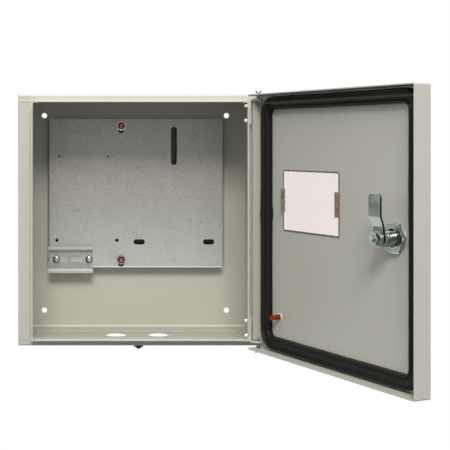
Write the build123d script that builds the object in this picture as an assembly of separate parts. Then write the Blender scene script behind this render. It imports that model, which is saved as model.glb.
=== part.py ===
from build123d import *
from math import cos, radians
import os

# Wall-mounted sheet steel distribution box with a hinged, gasketed and windowed door.
# Millimetres. The origin is the middle of the wall-hole pattern, on the rear face of the back.
# +X is to the right, +Y goes into the wall and +Z is up, so the door side faces -Y.

# Enclosure shell
box_width = 300.0
box_height = 310.0
box_depth = 137.7
sheet = 1.2
fold_radius = 0.8
side_frame = 16.5
end_frame = 8.0
collar_height = 16.0
hem_depth = 5.6
hem_nose_radius = 1.1
hem_relief_length = 8.4
hem_relief_depth = 1.8
wall_hole_inset_x = 26.5
wall_hole_inset_z = 23.0
wall_hole_diameter = 7.0

# Floor of the enclosure
cable_hole_diameter = 28.0
cable_hole_spacing = 55.0
cable_hole_depth = 77.6
floor_panel_inset = 18.0
floor_panel_front = 12.0
floor_panel_rear = 105.0
floor_panel_drop = 1.0

# Mounting plate
plate_side_inset = 34.0
plate_top_inset = 27.7
plate_height = 199.0
plate_thickness = 1.5
plate_standoff = 17.0
plate_corner = 1.5
meter_slot_x = 50.8
meter_slot_width = 8.0
meter_slot_low = 65.4
meter_slot_high = 116.7
meter_foot_spacing = 93.0
meter_foot_z = -37.7
meter_foot_length = 15.0
meter_foot_width = 7.0
pilot_hole_z = 76.9
pilot_hole_left = -103.0
pilot_hole_right = -37.4
pilot_hole_diameter = 2.7
rail_row_hole_z = -35.4
rail_row_hole_left = -106.0
rail_row_hole_right = -25.6
rail_row_hole_diameter = 4.5

# Studs that carry the plate
stud_diameter = 6.0
stud_x = -20.0
stud_top_z = 117.8
stud_bottom_z = -61.2
stud_reach = 10.0
stud_slot_width = 8.3
stud_slot_drop = 8.6
spacer_diameter = 12.0
thread_clearance = 0.2
plate_washer_diameter = 12.0
plate_washer_thickness = 1.2
plate_nut_flats = 10.0
plate_nut_height = 5.0

# Top-hat rail
rail_length = 59.5
rail_height = 35.0
rail_depth = 7.5
rail_thickness = 1.0
rail_base_height = 27.0
rail_fold_radius = 0.5
rail_left = -117.2
rail_z = -60.9
rail_slot_pitch = 21.5
rail_slot_length = 18.0
rail_slot_clearance = 1.0
rail_slot_centre = -78.9
rail_screw_left_shift = 0.0
rail_screw_right_shift = 0.9
rail_screw_diameter = 4.5
rail_screw_head_diameter = 9.7
rail_screw_head_height = 2.8
rail_screw_cross_width = 1.2
rail_screw_cross_length = 5.2
rail_screw_cross_depth = 1.4
rail_nut_flats = 8.0
rail_nut_height = 3.2

# Earth bolt under the floor
earth_bolt_diameter = 6.0
earth_bolt_setback = 32.0
earth_bolt_length = 8.4
earth_washer_diameter = 12.0
earth_washer_thickness = 1.2
earth_nut_flats = 10.0
earth_nut_height = 5.0

# Door pan
door_overhang_hinge = 0.2
door_overhang_free = 1.2
door_overhang_ends = 0.65
door_drop = 1.1
door_depth = 21.3
door_standoff = 2.0
hinge_flange_reach = 4.5
leaf_notch_start = 7.0
leaf_notch_lead = 1.2
window_width = 105.6
window_height = 69.4
window_hinge_offset = 43.2
window_low = -6.5
window_corner = 1.0

# Hinge
hinge_inset = 5.7
hinge_forward = 13.6
open_angle = 114.28
pin_radius = 1.5
pin_split = 0.3
pin_hole_clearance = 0.35
pin_bush_radius = 2.3
pin_bush_gap = 0.3
pin_eye_radius = 1.9
pin_eye_wire = 0.9
pin_tail_spread = 2.6
pin_tail_rise = 3.4
leaf_seat_gap = 0.3
bracket_thickness = 2.0
bracket_fold_radius = 1.5
bracket_width = 13.0
bracket_lead = 0.5
bracket_leg_inset = 39.0
bracket_leg_slant = 2.5
leaf_mid_inset = 7.2
leaf_shoulder = 5.5
ear_radius = 4.3
rivet_outer_inset = 14.0
rivet_inner_inset = 32.3
rivet_diameter = 3.6
rivet_head_diameter = 7.0
rivet_head_height = 0.8
rivet_hole_clearance = 0.1
rivet_tail_radius = 2.7
rivet_tail_height = 5.0
rivet_mandrel_hole = 1.3

# Gasket
gasket_width = 15.6
gasket_height = 7.5
gasket_valley_width = 9.2
gasket_valley_height = 5.3
gasket_hinge_offset = 10.5
gasket_free_inset = 16.9
gasket_end_inset = 10.6
gasket_outer_corner = 20.0
gasket_ridge_round = 1.1

# Window pane and its seal
pane_clearance = 0.3
pane_rim = 5.0
pane_rim_thickness = 1.5
pane_proud = 0.4
clip_height = 28.0
clip_thickness = 1.6
clip_reach = 4.6
clip_hook = 0.9
seal_width = 1.6
seal_height = 0.6

# Earth stud of the door
door_stud_offset = 34.0
door_stud_z = -112.2
door_stud_diameter = 6.0
door_stud_length = 14.0
door_stud_root_diameter = 7.0
stud_ring_diameter = 9.0
stud_ring_thickness = 1.0

# Lock
lock_free_inset = 51.5
lock_z = -0.5
barrel_diameter = 19.5
barrel_flats = 16.5
barrel_reach = 20.0
barrel_hole_clearance = 0.25
bezel_diameter = 28.0
bezel_height = 4.0
bezel_round = 1.6
spindle_diameter = 12.0
spindle_clearance = 0.2
spindle_head_diameter = 15.0
spindle_head_height = 2.0
key_slot_length = 7.0
key_slot_width = 2.2
key_slot_depth = 1.6
lock_washer_diameter = 33.0
lock_washer_thickness = 0.8
lock_nut_flats = 30.0
lock_nut_height = 4.5
cam_gap = 0.4
cam_thickness = 2.5
cam_near_width = 15.0
cam_tip_width = 18.5
cam_reach = 46.0
cam_offset = 5.1
cam_bend_start = 12.2
cam_bend_end = 22.4
cam_corner = 3.0
cam_hub_radius = 9.0
cam_square = 8.0
cam_fold_radius = 1.0
cam_nut_flats = 13.0
cam_nut_height = 5.5
cam_washer_diameter = 15.0
cam_washer_thickness = 1.2
cam_bolt_diameter = 7.0
cam_bolt_tip = 4.0

# Places worked out from the sizes above
half_width = box_width / 2
half_height = box_height / 2
front_y = -box_depth
back_inner_y = -sheet
collar_x = half_width - side_frame
collar_z = half_height - end_frame
collar_tip_y = front_y - collar_height
outer_fold = fold_radius + sheet
underside_z = -half_height - floor_panel_drop
wall_hole_spacing_x = box_width - 2 * wall_hole_inset_x
wall_hole_spacing_z = box_height - 2 * wall_hole_inset_z

plate_rear_y = -sheet - plate_standoff
plate_front_y = plate_rear_y - plate_thickness
plate_width = box_width - 2 * plate_side_inset
plate_mid_z = half_height - plate_top_inset - plate_height / 2

axis_x = half_width - hinge_inset
axis_y = front_y - hinge_forward
door_end_y = front_y - door_standoff
door_face_y = door_end_y - door_depth
door_inner_y = door_face_y + sheet
door_hinge_x = half_width + door_overhang_hinge
door_free_x = -half_width - door_overhang_free
door_top_z = half_height + door_overhang_ends - door_drop
door_bottom_z = -half_height - door_overhang_ends - door_drop

leaf_mid_z = half_height - leaf_mid_inset
leaf_outer_z = leaf_mid_z + bracket_thickness / 2
leaf_inner_z = leaf_mid_z - bracket_thickness / 2
bracket_leg_end = half_height - bracket_leg_inset
rivet_heights = (half_height - rivet_outer_inset, half_height - rivet_inner_inset)
strip_front_y = axis_y - bracket_lead
strip_rear_y = strip_front_y + bracket_width
rivet_y = (strip_front_y + strip_rear_y) / 2

lock_x = door_free_x + lock_free_inset
lock_centre_z = lock_z - door_drop
cam_near_y = door_inner_y + barrel_reach + cam_gap
cam_washer_y = cam_near_y + cam_thickness
cam_nut_y = cam_washer_y + cam_washer_thickness

rail_slot_width = rail_screw_diameter + rail_slot_clearance
slot_end_run = (rail_slot_length - rail_slot_width) / 2
rail_screw_left = rail_slot_centre - rail_slot_pitch - slot_end_run + rail_screw_left_shift
rail_screw_right = rail_slot_centre + rail_slot_pitch - slot_end_run + rail_screw_right_shift

hinge_axis = Axis((axis_x, axis_y, 0), (0, 0, 1))


def block(x0, x1, y0, y1, z0, z1):
    """Box between two corners."""
    middle = Pos((x0 + x1) / 2, (y0 + y1) / 2, (z0 + z1) / 2)
    return middle * Box(x1 - x0, y1 - y0, z1 - z0)


def rod_y(x, z, y0, y1, radius):
    """Round bar along Y."""
    return Pos(x, (y0 + y1) / 2, z) * Rot(90, 0, 0) * Cylinder(radius, y1 - y0)


def rod_z(x, y, z0, z1, radius):
    """Round bar along Z."""
    return Pos(x, y, (z0 + z1) / 2) * Cylinder(radius, z1 - z0)


def rod_x(y, z, x0, x1, radius):
    """Round bar along X."""
    return Pos((x0 + x1) / 2, y, z) * Rot(0, 90, 0) * Cylinder(radius, x1 - x0)


def prism_y(face, y0, y1):
    """Extrude a sketch drawn in X and Z from y0 to y1."""
    lying = Pos(0, y1, 0) * Rot(90, 0, 0) * face
    return extrude(lying, amount=y1 - y0, dir=(0, -1, 0))


def hexagon(flats):
    """Hexagon with two level flats, by its width across flats."""
    return RegularPolygon(flats / 2, 6, major_radius=False)


def nut_y(x, z, y0, y1, flats, bore_radius):
    """Hexagon nut along Y with its corners turned off on both faces."""
    body = prism_y(Pos(x, z) * hexagon(flats), y0, y1)
    corner_radius = flats / 2 / cos(radians(30))
    turned = rod_y(x, z, y0, y1, corner_radius)
    turned = chamfer(turned.edges().filter_by(GeomType.CIRCLE), (corner_radius - flats / 2) * 0.6)
    return (body & turned) - rod_y(x, z, y0 - 1, y1 + 1, bore_radius)


def slot_y(x, z, length, width, y0, y1, upright=False):
    """Cutter for a round-ended slot through a plate that faces Y."""
    outline = SlotOverall(length, width, rotation=90 if upright else 0)
    return prism_y(Pos(x, z) * outline, y0, y1)


def outline_face(points, radii):
    """Closed outline with one corner radius a point."""
    return make_face(FilletPolyline(*points, radius=radii, close=True))


def swung_open(shape):
    """Turn a piece of the shut door about the hinge axis to where it stands open."""
    return shape.rotate(hinge_axis, open_angle)


def save(name, shape, colour):
    """Write one node."""
    shape.label = name
    shape.color = Color(*colour)
    export_step(shape, f"parts/{name}.step")


def collar_section(reach, inner_reach):
    """Points and radii of a side wall, its frame strip and its hemmed collar.

    reach is the outside of the wall and inner_reach the outside of the collar.
    """
    points = [
        (reach, 0),
        (reach, front_y),
        (inner_reach, front_y),
        (inner_reach, collar_tip_y),
        (inner_reach - 2 * sheet, collar_tip_y),
        (inner_reach - 2 * sheet, collar_tip_y + hem_depth),
        (inner_reach - sheet, collar_tip_y + hem_depth),
        (inner_reach - sheet, front_y + sheet),
        (reach - sheet, front_y + sheet),
        (reach - sheet, -sheet),
    ]
    radii = [
        outer_fold,
        outer_fold,
        fold_radius,
        hem_nose_radius,
        hem_nose_radius,
        0,
        0,
        outer_fold,
        fold_radius,
        fold_radius,
    ]
    return points, radii


def body_wrap():
    """Back, sides, side frames and side collars, folded from one sheet."""
    right, radii = collar_section(half_width, collar_x)
    left = [(-x, y) for x, y in reversed(right)]
    profile = outline_face(right + left, radii + radii[::-1])
    wall_top = half_height - sheet
    wrap = extrude(Pos(0, 0, -wall_top) * profile, amount=2 * wall_top)
    beyond = half_width + 1
    for side in (-1, 1):
        ends = sorted((side * collar_z, side * half_height))
        wrap -= block(-beyond, beyond, collar_tip_y - 1, front_y + sheet, ends[0], ends[1])
        bend = sorted((side * (wall_top - fold_radius), side * half_height))
        wrap -= block(-beyond, beyond, front_y, front_y + outer_fold, bend[0], bend[1])
        for hand in (-1, 1):
            wrap -= prism_y(collar_mitre(hand, side, True), collar_tip_y - 1, front_y + 2 * sheet)
            wrap -= hem_relief(hand, side)
            x = hand * wall_hole_spacing_x / 2
            z = side * wall_hole_spacing_z / 2
            wrap -= rod_y(x, z, -2 * sheet, sheet, wall_hole_diameter / 2)
    return wrap


def hem_relief(hand, side):
    """Cutter that sets the hems back at a corner of the collar, clear of the seal's round corner."""
    xs = sorted((hand * (collar_x + 1), hand * (collar_x - hem_relief_length)))
    zs = sorted((side * (collar_z + 1), side * (collar_z - hem_relief_length)))
    return block(*xs, collar_tip_y - 1, collar_tip_y + hem_relief_depth, *zs)


def collar_mitre(hand, side, of_side_wall):
    """Cutter that leaves the collar's corner to the other sheet, on a slant of 45 degrees."""
    run = 6 * sheet
    corner = (hand * collar_x, side * collar_z)
    inner = (hand * (collar_x - run), side * (collar_z - run))
    if of_side_wall:
        third = (hand * (collar_x - run), side * (collar_z + run))
        fourth = (hand * collar_x, side * (collar_z + run))
    else:
        third = (hand * (half_width + 1), side * (collar_z - run))
        fourth = (hand * (half_width + 1), side * collar_z)
    return make_face(Polyline(corner, inner, third, fourth, close=True))


def body_cap(side):
    """Top or bottom of the enclosure, with its frame strip and collar."""
    section, radii = collar_section(half_height, collar_z)
    section[-1] = (half_height - sheet, 0)
    radii[0] = 0
    radii[-1] = 0
    profile = outline_face([(y, side * z) for z, y in section], radii)
    cap = extrude(Plane.YZ.offset(-half_width) * profile, amount=box_width, dir=(1, 0, 0))
    levels = sorted((side * (collar_z - 1), side * (half_height + 1)))
    for hand in (-1, 1):
        cap -= prism_y(collar_mitre(hand, side, False), collar_tip_y - 1, front_y + 2 * sheet)
        cap -= hem_relief(hand, side)
        for y, inwards in ((front_y, 1), (0, -1)):
            centre_x = hand * (half_width - outer_fold)
            centre_y = y + inwards * outer_fold
            xs = sorted((centre_x, hand * (half_width + 1)))
            ys = sorted((centre_y, y - inwards))
            round_off = rod_z(centre_x, centre_y, levels[0] - 1, levels[1] + 1, outer_fold)
            cap -= block(xs[0], xs[1], ys[0], ys[1], levels[0], levels[1]) - round_off
    return cap


def floor_recess(z):
    """Shallow pressed recess with sloping edges, its top at height z."""
    half = half_width - floor_panel_inset
    rear_y = front_y + floor_panel_rear
    recess = block(-half, half, front_y + floor_panel_front, rear_y, z - floor_panel_drop, z)
    return chamfer(recess.faces().sort_by(Axis.Z)[0].edges(), floor_panel_drop * 0.9)


def body_bottom():
    """Bottom cap with the pressed recess and the cable holes."""
    cap = body_cap(-1)
    cap += floor_recess(-half_height)
    cap -= floor_recess(-half_height + sheet)
    low = -half_height - 2 * floor_panel_drop
    high = -half_height + 2 * sheet
    for hand in (-1, 1):
        x = hand * cable_hole_spacing / 2
        cap -= rod_z(x, front_y + cable_hole_depth, low, high, cable_hole_diameter / 2)
    return cap


def mounting_plate():
    """Galvanised plate with its meter slots, rail holes and stud slots."""
    y0 = plate_front_y - 1
    y1 = plate_rear_y + 1
    outline = Pos(0, plate_mid_z) * RectangleRounded(plate_width, plate_height, plate_corner)
    plate = prism_y(outline, plate_front_y, plate_rear_y)
    slot_mid = (meter_slot_low + meter_slot_high) / 2
    slot_length = meter_slot_high - meter_slot_low
    plate -= slot_y(meter_slot_x, slot_mid, slot_length, meter_slot_width, y0, y1, True)
    for hand in (-1, 1):
        foot_x = meter_slot_x + hand * meter_foot_spacing / 2
        plate -= slot_y(foot_x, meter_foot_z, meter_foot_length, meter_foot_width, y0, y1)
    for x in (pilot_hole_left, pilot_hole_right):
        plate -= rod_y(x, pilot_hole_z, y0, y1, pilot_hole_diameter / 2)
    for x in (rail_row_hole_left, rail_row_hole_right):
        plate -= rod_y(x, rail_row_hole_z, y0, y1, rail_row_hole_diameter / 2)
    for z in (stud_top_z, stud_bottom_z):
        length = stud_slot_width + stud_slot_drop - stud_diameter / 2
        centre_z = z + stud_slot_width / 2 - length / 2
        plate -= slot_y(stud_x, centre_z, length, stud_slot_width, y0, y1, True)
    for x in (rail_screw_left, rail_screw_right):
        plate -= rod_y(x, rail_z, y0, y1, rail_screw_diameter / 2 + thread_clearance)
    return plate


def on_studs(make):
    """Repeat a piece at both studs of the plate."""
    return Compound(children=[make(stud_top_z), make(stud_bottom_z)])


def plate_stud(z):
    """Weld stud from the back through the plate."""
    stud = rod_y(stud_x, z, plate_front_y - stud_reach, back_inner_y, stud_diameter / 2)
    return chamfer(stud.faces().sort_by(Axis.Y)[0].edges(), stud_diameter / 8)


def plate_spacer(z):
    """Tube that holds the plate off the back."""
    bore = stud_diameter / 2 + thread_clearance
    tube = rod_y(stud_x, z, plate_rear_y, back_inner_y, spacer_diameter / 2)
    return tube - rod_y(stud_x, z, plate_rear_y - 1, back_inner_y + 1, bore)


def plate_washer(z):
    """Washer on the plate's front."""
    y0 = plate_front_y - plate_washer_thickness
    bore = stud_diameter / 2 + thread_clearance
    disc = rod_y(stud_x, z, y0, plate_front_y, plate_washer_diameter / 2)
    return disc - rod_y(stud_x, z, y0 - 1, plate_front_y + 1, bore)


def plate_nut(z):
    """Nut on the washer."""
    y1 = plate_front_y - plate_washer_thickness
    bore = stud_diameter / 2 + thread_clearance
    return nut_y(stud_x, z, y1 - plate_nut_height, y1, plate_nut_flats, bore)


def din_rail():
    """Top-hat rail with slots along its base, one of them open at the cut end."""
    half = rail_height / 2
    base = rail_base_height / 2
    t = rail_thickness
    upper = [(-base, 0), (base, 0), (base, rail_depth - t), (half, rail_depth - t), (half, rail_depth)]
    lower = [(base - t, rail_depth), (base - t, t), (t - base, t), (t - base, rail_depth)]
    ends = [(-half, rail_depth), (-half, rail_depth - t), (-base, rail_depth - t)]
    r_in = rail_fold_radius
    r_out = rail_fold_radius + t
    radii = [r_out, r_out, r_in, 0, 0, r_out, r_in, r_in, r_out, 0, 0, r_in]
    profile = outline_face(upper + lower + ends, radii)
    end_plane = Plane(origin=(rail_left, plate_front_y, rail_z), x_dir=(0, 0, 1), z_dir=(1, 0, 0))
    rail = extrude(end_plane * profile, amount=rail_length)
    y0 = plate_front_y - 2 * t
    y1 = plate_front_y + t
    for step in range(-2, 3):
        x = rail_slot_centre + step * rail_slot_pitch
        rail -= slot_y(x, rail_z, rail_slot_length, rail_slot_width, y0, y1)
    return rail


def rail_screw(x):
    """Pan head screw with a cross recess."""
    seat = plate_front_y - rail_thickness
    head = rod_y(x, rail_z, seat - rail_screw_head_height, seat, rail_screw_head_diameter / 2)
    head = chamfer(head.faces().sort_by(Axis.Y)[0].edges(), rail_screw_head_height * 0.5)
    for width, length in (
        (rail_screw_cross_width, rail_screw_cross_length),
        (rail_screw_cross_length, rail_screw_cross_width),
    ):
        top = seat - rail_screw_head_height
        head -= block(
            x - width / 2, x + width / 2, top - 1, top + rail_screw_cross_depth,
            rail_z - length / 2, rail_z + length / 2,
        )
    end = plate_rear_y + rail_nut_height + 1
    return head + rod_y(x, rail_z, seat, end, rail_screw_diameter / 2)


def rail_nut(x):
    """Nut behind the plate."""
    bore = rail_screw_diameter / 2 + thread_clearance
    return nut_y(x, rail_z, plate_rear_y, plate_rear_y + rail_nut_height, rail_nut_flats, bore)


def earth_bolt():
    """Weld stud under the floor."""
    y = front_y + earth_bolt_setback
    bolt = rod_z(0, y, underside_z - earth_bolt_length, underside_z, earth_bolt_diameter / 2)
    return chamfer(bolt.faces().sort_by(Axis.Z)[0].edges(), earth_bolt_diameter / 10)


def earth_bolt_nuts():
    """Washer against the floor and the nut under it."""
    y = front_y + earth_bolt_setback
    radius = earth_bolt_diameter / 2 + thread_clearance
    bore = rod_z(0, y, underside_z - 2 * earth_bolt_length, underside_z + 1, radius)
    washer_end = underside_z - earth_washer_thickness
    washer = rod_z(0, y, washer_end, underside_z, earth_washer_diameter / 2)
    nut_end = washer_end - earth_nut_height
    nut = extrude(Pos(0, y, nut_end) * hexagon(earth_nut_flats), amount=earth_nut_height)
    return washer + nut - bore


def hinge_bracket(side):
    """Angle with a leg on the collar's outside and an ear round the hinge pin."""
    r_in = bracket_fold_radius
    r_out = bracket_fold_radius + bracket_thickness
    far_x = axis_x
    points = [
        (collar_x, side * bracket_leg_end),
        (collar_x, side * leaf_outer_z),
        (far_x, side * leaf_outer_z),
        (far_x, side * leaf_inner_z),
        (collar_x + bracket_thickness, side * leaf_inner_z),
        (collar_x + bracket_thickness, side * bracket_leg_end),
    ]
    profile = outline_face(points, [0, r_out, 0, 0, r_in, 0])
    angle = prism_y(profile, strip_front_y, strip_rear_y)
    ear_x = ear_radius * cos(radians(45))
    levels = sorted((side * leaf_inner_z, side * leaf_outer_z))
    shoulder_x = collar_x + leaf_shoulder
    spare = Polyline(
        (shoulder_x, strip_rear_y),
        (axis_x + ear_x, axis_y + ear_x),
        (axis_x + ear_radius + 1, axis_y + ear_x),
        (axis_x + ear_radius + 1, strip_rear_y + 1),
        (shoulder_x, strip_rear_y + 1),
        close=True,
    )
    height = levels[1] - levels[0]
    angle -= extrude(Pos(0, 0, levels[0] - 1) * make_face(spare), amount=height + 2)
    angle += rod_z(axis_x, axis_y, levels[0], levels[1], ear_radius)
    angle -= rod_z(axis_x, axis_y, levels[0] - 1, levels[1] + 1, pin_radius + pin_hole_clearance)
    slant_rise = side * bracket_leg_slant
    leg_end = side * bracket_leg_end
    slant = Polyline(
        (strip_front_y, leg_end),
        (strip_front_y, leg_end + slant_rise),
        (strip_front_y + 2 * bracket_leg_slant, leg_end),
        close=True,
    )
    wedge = Plane.YZ.offset(collar_x - 1) * make_face(slant)
    angle -= extrude(wedge, amount=bracket_thickness + 2, dir=(1, 0, 0))
    hole = rivet_diameter / 2 + rivet_hole_clearance
    for height in rivet_heights:
        angle -= rod_x(rivet_y, side * height, collar_x - 1, collar_x + bracket_thickness + 1, hole)
    return angle


def rivets(side):
    """Two blind rivets: thin heads on the bracket, round tails inside the collar."""
    made = []
    inner_face = collar_x - sheet
    outer_face = collar_x + bracket_thickness
    tail_end = inner_face - rivet_tail_height
    for height in rivet_heights:
        z = side * height
        rivet = rod_x(rivet_y, z, inner_face, outer_face, rivet_diameter / 2)
        head = rod_x(rivet_y, z, outer_face, outer_face + rivet_head_height, rivet_head_diameter / 2)
        rivet += chamfer(head.faces().sort_by(Axis.X)[-1].edges(), rivet_head_height / 2)
        tail = rod_x(rivet_y, z, tail_end, inner_face, rivet_tail_radius)
        rivet += chamfer(tail.faces().sort_by(Axis.X)[0].edges(), rivet_tail_radius * 0.45)
        rivet -= rod_x(rivet_y, z, tail_end - 1, outer_face, rivet_mandrel_hole / 2)
        made.append(rivet)
    return Compound(children=made)


def collar_with_rivet_holes(wrap):
    """Drill the collar for the rivets of both brackets."""
    hole = rivet_diameter / 2 + rivet_hole_clearance
    for side in (-1, 1):
        for height in rivet_heights:
            wrap -= rod_x(rivet_y, side * height, collar_x - 3 * sheet, collar_x + 1, hole)
    return wrap


def hinge_pin(side):
    """Split pin: an eye inside the leaf, a bush on the leaf, and ends spread past the door."""
    door_outer = door_top_z if side > 0 else -door_bottom_z
    head_z = leaf_inner_z - leaf_seat_gap
    tail_z = door_outer + leaf_seat_gap
    leg_top = tail_z + pin_radius
    full = Cylinder(pin_radius, leg_top - head_z)
    full = Pos(0, 0, (leg_top + head_z) / 2) * full
    split = block(-pin_split / 2, pin_split / 2, -5, 5, head_z + 1, leg_top + 1)
    pin = full - split
    eye_z = head_z - pin_eye_radius
    eye = rod_x(0, eye_z, -pin_eye_wire, pin_eye_wire, pin_eye_radius + pin_eye_wire)
    eye = chamfer(eye.edges().filter_by(GeomType.CIRCLE), pin_eye_wire / 2)
    pin += eye - rod_x(0, eye_z, -2 * pin_eye_wire, 2 * pin_eye_wire, pin_eye_radius - pin_eye_wire)
    pin += rod_z(0, 0, leaf_outer_z, door_outer - sheet - pin_bush_gap, pin_bush_radius)
    for hand in (-1, 1):
        start = Vector(hand * pin_radius / 2, 0, leg_top - pin_radius / 2)
        lean = Vector(hand * pin_tail_spread, 0, pin_tail_rise)
        tail_plane = Plane(origin=start, z_dir=lean)
        leg = Cylinder(pin_radius * 0.62, lean.length, align=(Align.CENTER, Align.CENTER, Align.MIN))
        leg = chamfer(leg.faces().sort_by(Axis.Z)[-1].edges(), pin_radius * 0.3)
        pin += tail_plane * leg
    if side < 0:
        pin = mirror(pin, Plane.XY)
    return Pos(axis_x, axis_y, 0) * pin


def door_panel():
    """Shut door: folded pan with a shallower flange on the hinge side."""
    pan = block(door_free_x, door_hinge_x, door_face_y, door_end_y, door_bottom_z, door_top_z)
    pan_edges = pan.edges().group_by(Axis.Y)[0] + pan.edges().filter_by(Axis.Y)
    pan = fillet(pan_edges, outer_fold)
    hollow = block(
        door_free_x + sheet, door_hinge_x - sheet, door_inner_y, door_end_y + 1,
        door_bottom_z + sheet, door_top_z - sheet,
    )
    hollow_edges = hollow.edges().group_by(Axis.Y)[0] + hollow.edges().filter_by(Axis.Y)
    pan -= fillet(hollow_edges, fold_radius)
    low = door_bottom_z + outer_fold
    high = door_top_z - outer_fold
    flange_end = axis_y + hinge_flange_reach
    x0 = door_hinge_x - outer_fold
    x1 = door_hinge_x + 1
    pan -= block(x0, x1, flange_end, door_end_y + 1, low, high)
    notch_from = axis_y - leaf_notch_start
    notch_z = leaf_inner_z - leaf_notch_lead
    pan -= block(x0, x1, notch_from, flange_end + 1, notch_z, high)
    pan -= block(x0, x1, notch_from, flange_end + 1, low, -notch_z)
    hole = pin_radius + pin_hole_clearance
    pan -= rod_z(axis_x, axis_y, door_top_z - 2 * sheet, door_top_z + 1, hole)
    pan -= rod_z(axis_x, axis_y, door_bottom_z - 1, door_bottom_z + 2 * sheet, hole)
    y0 = door_face_y - 1
    y1 = door_inner_y + 1
    pan -= prism_y(window_outline(0), y0, y1)
    pan -= prism_y(barrel_outline(barrel_hole_clearance), y0, y1)
    return pan


def window_outline(grow):
    """Window opening, grown by a margin."""
    x = axis_x - window_hinge_offset - window_width / 2
    z = window_low + window_height / 2 - door_drop
    corner = max(window_corner + grow, window_corner / 2)
    return Pos(x, z) * RectangleRounded(window_width + 2 * grow, window_height + 2 * grow, corner)


def barrel_outline(grow):
    """Round barrel with two flats, grown by a clearance."""
    disc = Circle(barrel_diameter / 2 + grow)
    flats = Rectangle(barrel_diameter + 2 * grow, barrel_flats + 2 * grow)
    return Pos(lock_x, lock_centre_z) * (disc & flats)


def door_gasket():
    """Foamed seal: two round ridges with a shallow valley where the collar presses."""
    right = axis_x - gasket_hinge_offset
    left = door_free_x + gasket_free_inset
    x_mid = (left + right) / 2
    width = right - left
    height = box_height - 2 * gasket_end_inset
    ridge = (gasket_width - gasket_valley_width) / 2
    centre_corner = gasket_outer_corner - gasket_width / 2

    def ring(outer_grow, inner_grow, depth):
        outer = RectangleRounded(width + 2 * outer_grow, height + 2 * outer_grow, centre_corner + outer_grow)
        inner = RectangleRounded(width + 2 * inner_grow, height + 2 * inner_grow, centre_corner + inner_grow)
        band = Pos(x_mid, -door_drop) * (outer - inner)
        return prism_y(band, door_inner_y, door_inner_y + depth)

    half = gasket_width / 2
    seal = ring(half, -half, gasket_valley_height)
    for outer_grow, inner_grow in ((half, half - ridge), (ridge - half, -half)):
        bead = ring(outer_grow, inner_grow, gasket_height)
        seal += chamfer(bead.faces().sort_by(Axis.Y)[-1].edges(), gasket_ridge_round)
    return seal


def window_pane():
    """Clear pane: rim outside and a plug through the door, with a seat for each clip."""
    rim = prism_y(window_outline(pane_rim), door_face_y - pane_rim_thickness, door_face_y)
    rim = chamfer(rim.faces().sort_by(Axis.Y)[0].edges(), pane_rim_thickness / 2)
    pane = rim + prism_y(window_outline(-pane_clearance), door_face_y, door_inner_y + pane_proud)
    return pane - window_clips()


def window_clips():
    """Two sprung clips that hold the pane, one at each upright edge of the opening."""
    x_mid = axis_x - window_hinge_offset - window_width / 2
    z0 = window_low + window_height / 2 - door_drop - clip_height / 2
    clip_end = door_inner_y + clip_reach
    hook_top = door_inner_y + seal_height + pane_clearance
    clips = []
    for hand in (-1, 1):
        edge = x_mid + hand * (window_width / 2 - pane_clearance)
        xs = sorted((edge, edge - hand * clip_thickness))
        clip = block(*xs, door_face_y, clip_end, z0, z0 + clip_height)
        barb = Polyline(
            (edge, hook_top),
            (edge + hand * (pane_clearance + clip_hook), hook_top),
            (edge, clip_end),
            close=True,
        )
        clips.append(clip + extrude(Pos(0, 0, z0) * make_face(barb), amount=clip_height))
    return Compound(children=clips)


def window_seal():
    """Thin bead round the opening on the inner face."""
    ring = window_outline(seal_width) - window_outline(0)
    bead = prism_y(ring, door_inner_y, door_inner_y + seal_height)
    return bead


def door_earth_stud():
    """Weld stud on the door, with its thicker root."""
    x = axis_x - door_stud_offset
    z = door_stud_z - door_drop
    stud = rod_y(x, z, door_inner_y, door_inner_y + door_stud_length, door_stud_diameter / 2)
    stud = chamfer(stud.faces().sort_by(Axis.Y)[-1].edges(), door_stud_diameter / 8)
    root_end = door_inner_y + stud_ring_thickness
    return stud + rod_y(x, z, door_inner_y, root_end, door_stud_root_diameter / 2)


def door_stud_ring():
    """Masking ring at the stud's root."""
    x = axis_x - door_stud_offset
    z = door_stud_z - door_drop
    end = door_inner_y + stud_ring_thickness
    ring = rod_y(x, z, door_inner_y, end, stud_ring_diameter / 2)
    bore = door_stud_root_diameter / 2
    return ring - rod_y(x, z, door_inner_y - 1, end + 1, bore)


def lock_housing():
    """Bezel outside the door and a flatted barrel through it."""
    face = door_face_y - bezel_height
    bezel = rod_y(lock_x, lock_centre_z, face, door_face_y, bezel_diameter / 2)
    bezel = chamfer(bezel.faces().sort_by(Axis.Y)[0].edges(), bezel_round)
    end = door_inner_y + barrel_reach
    barrel = prism_y(barrel_outline(0), door_face_y, end)
    bore = spindle_diameter / 2 + spindle_clearance
    housing = bezel + barrel - rod_y(lock_x, lock_centre_z, face - 1, end + 1, bore)
    pocket = spindle_head_diameter / 2 + spindle_clearance
    pocket_end = face + spindle_head_height + spindle_clearance
    return housing - rod_y(lock_x, lock_centre_z, face - 1, pocket_end, pocket)


def lock_washer():
    """Large washer on the inner face."""
    end = door_inner_y + lock_washer_thickness
    disc = rod_y(lock_x, lock_centre_z, door_inner_y, end, lock_washer_diameter / 2)
    return disc - prism_y(barrel_outline(barrel_hole_clearance), door_inner_y - 1, end + 1)


def lock_nut():
    """Thin hexagon nut that holds the barrel."""
    y0 = door_inner_y + lock_washer_thickness
    bore = barrel_diameter / 2 + thread_clearance
    return nut_y(lock_x, lock_centre_z, y0, y0 + lock_nut_height, lock_nut_flats, bore)


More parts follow.
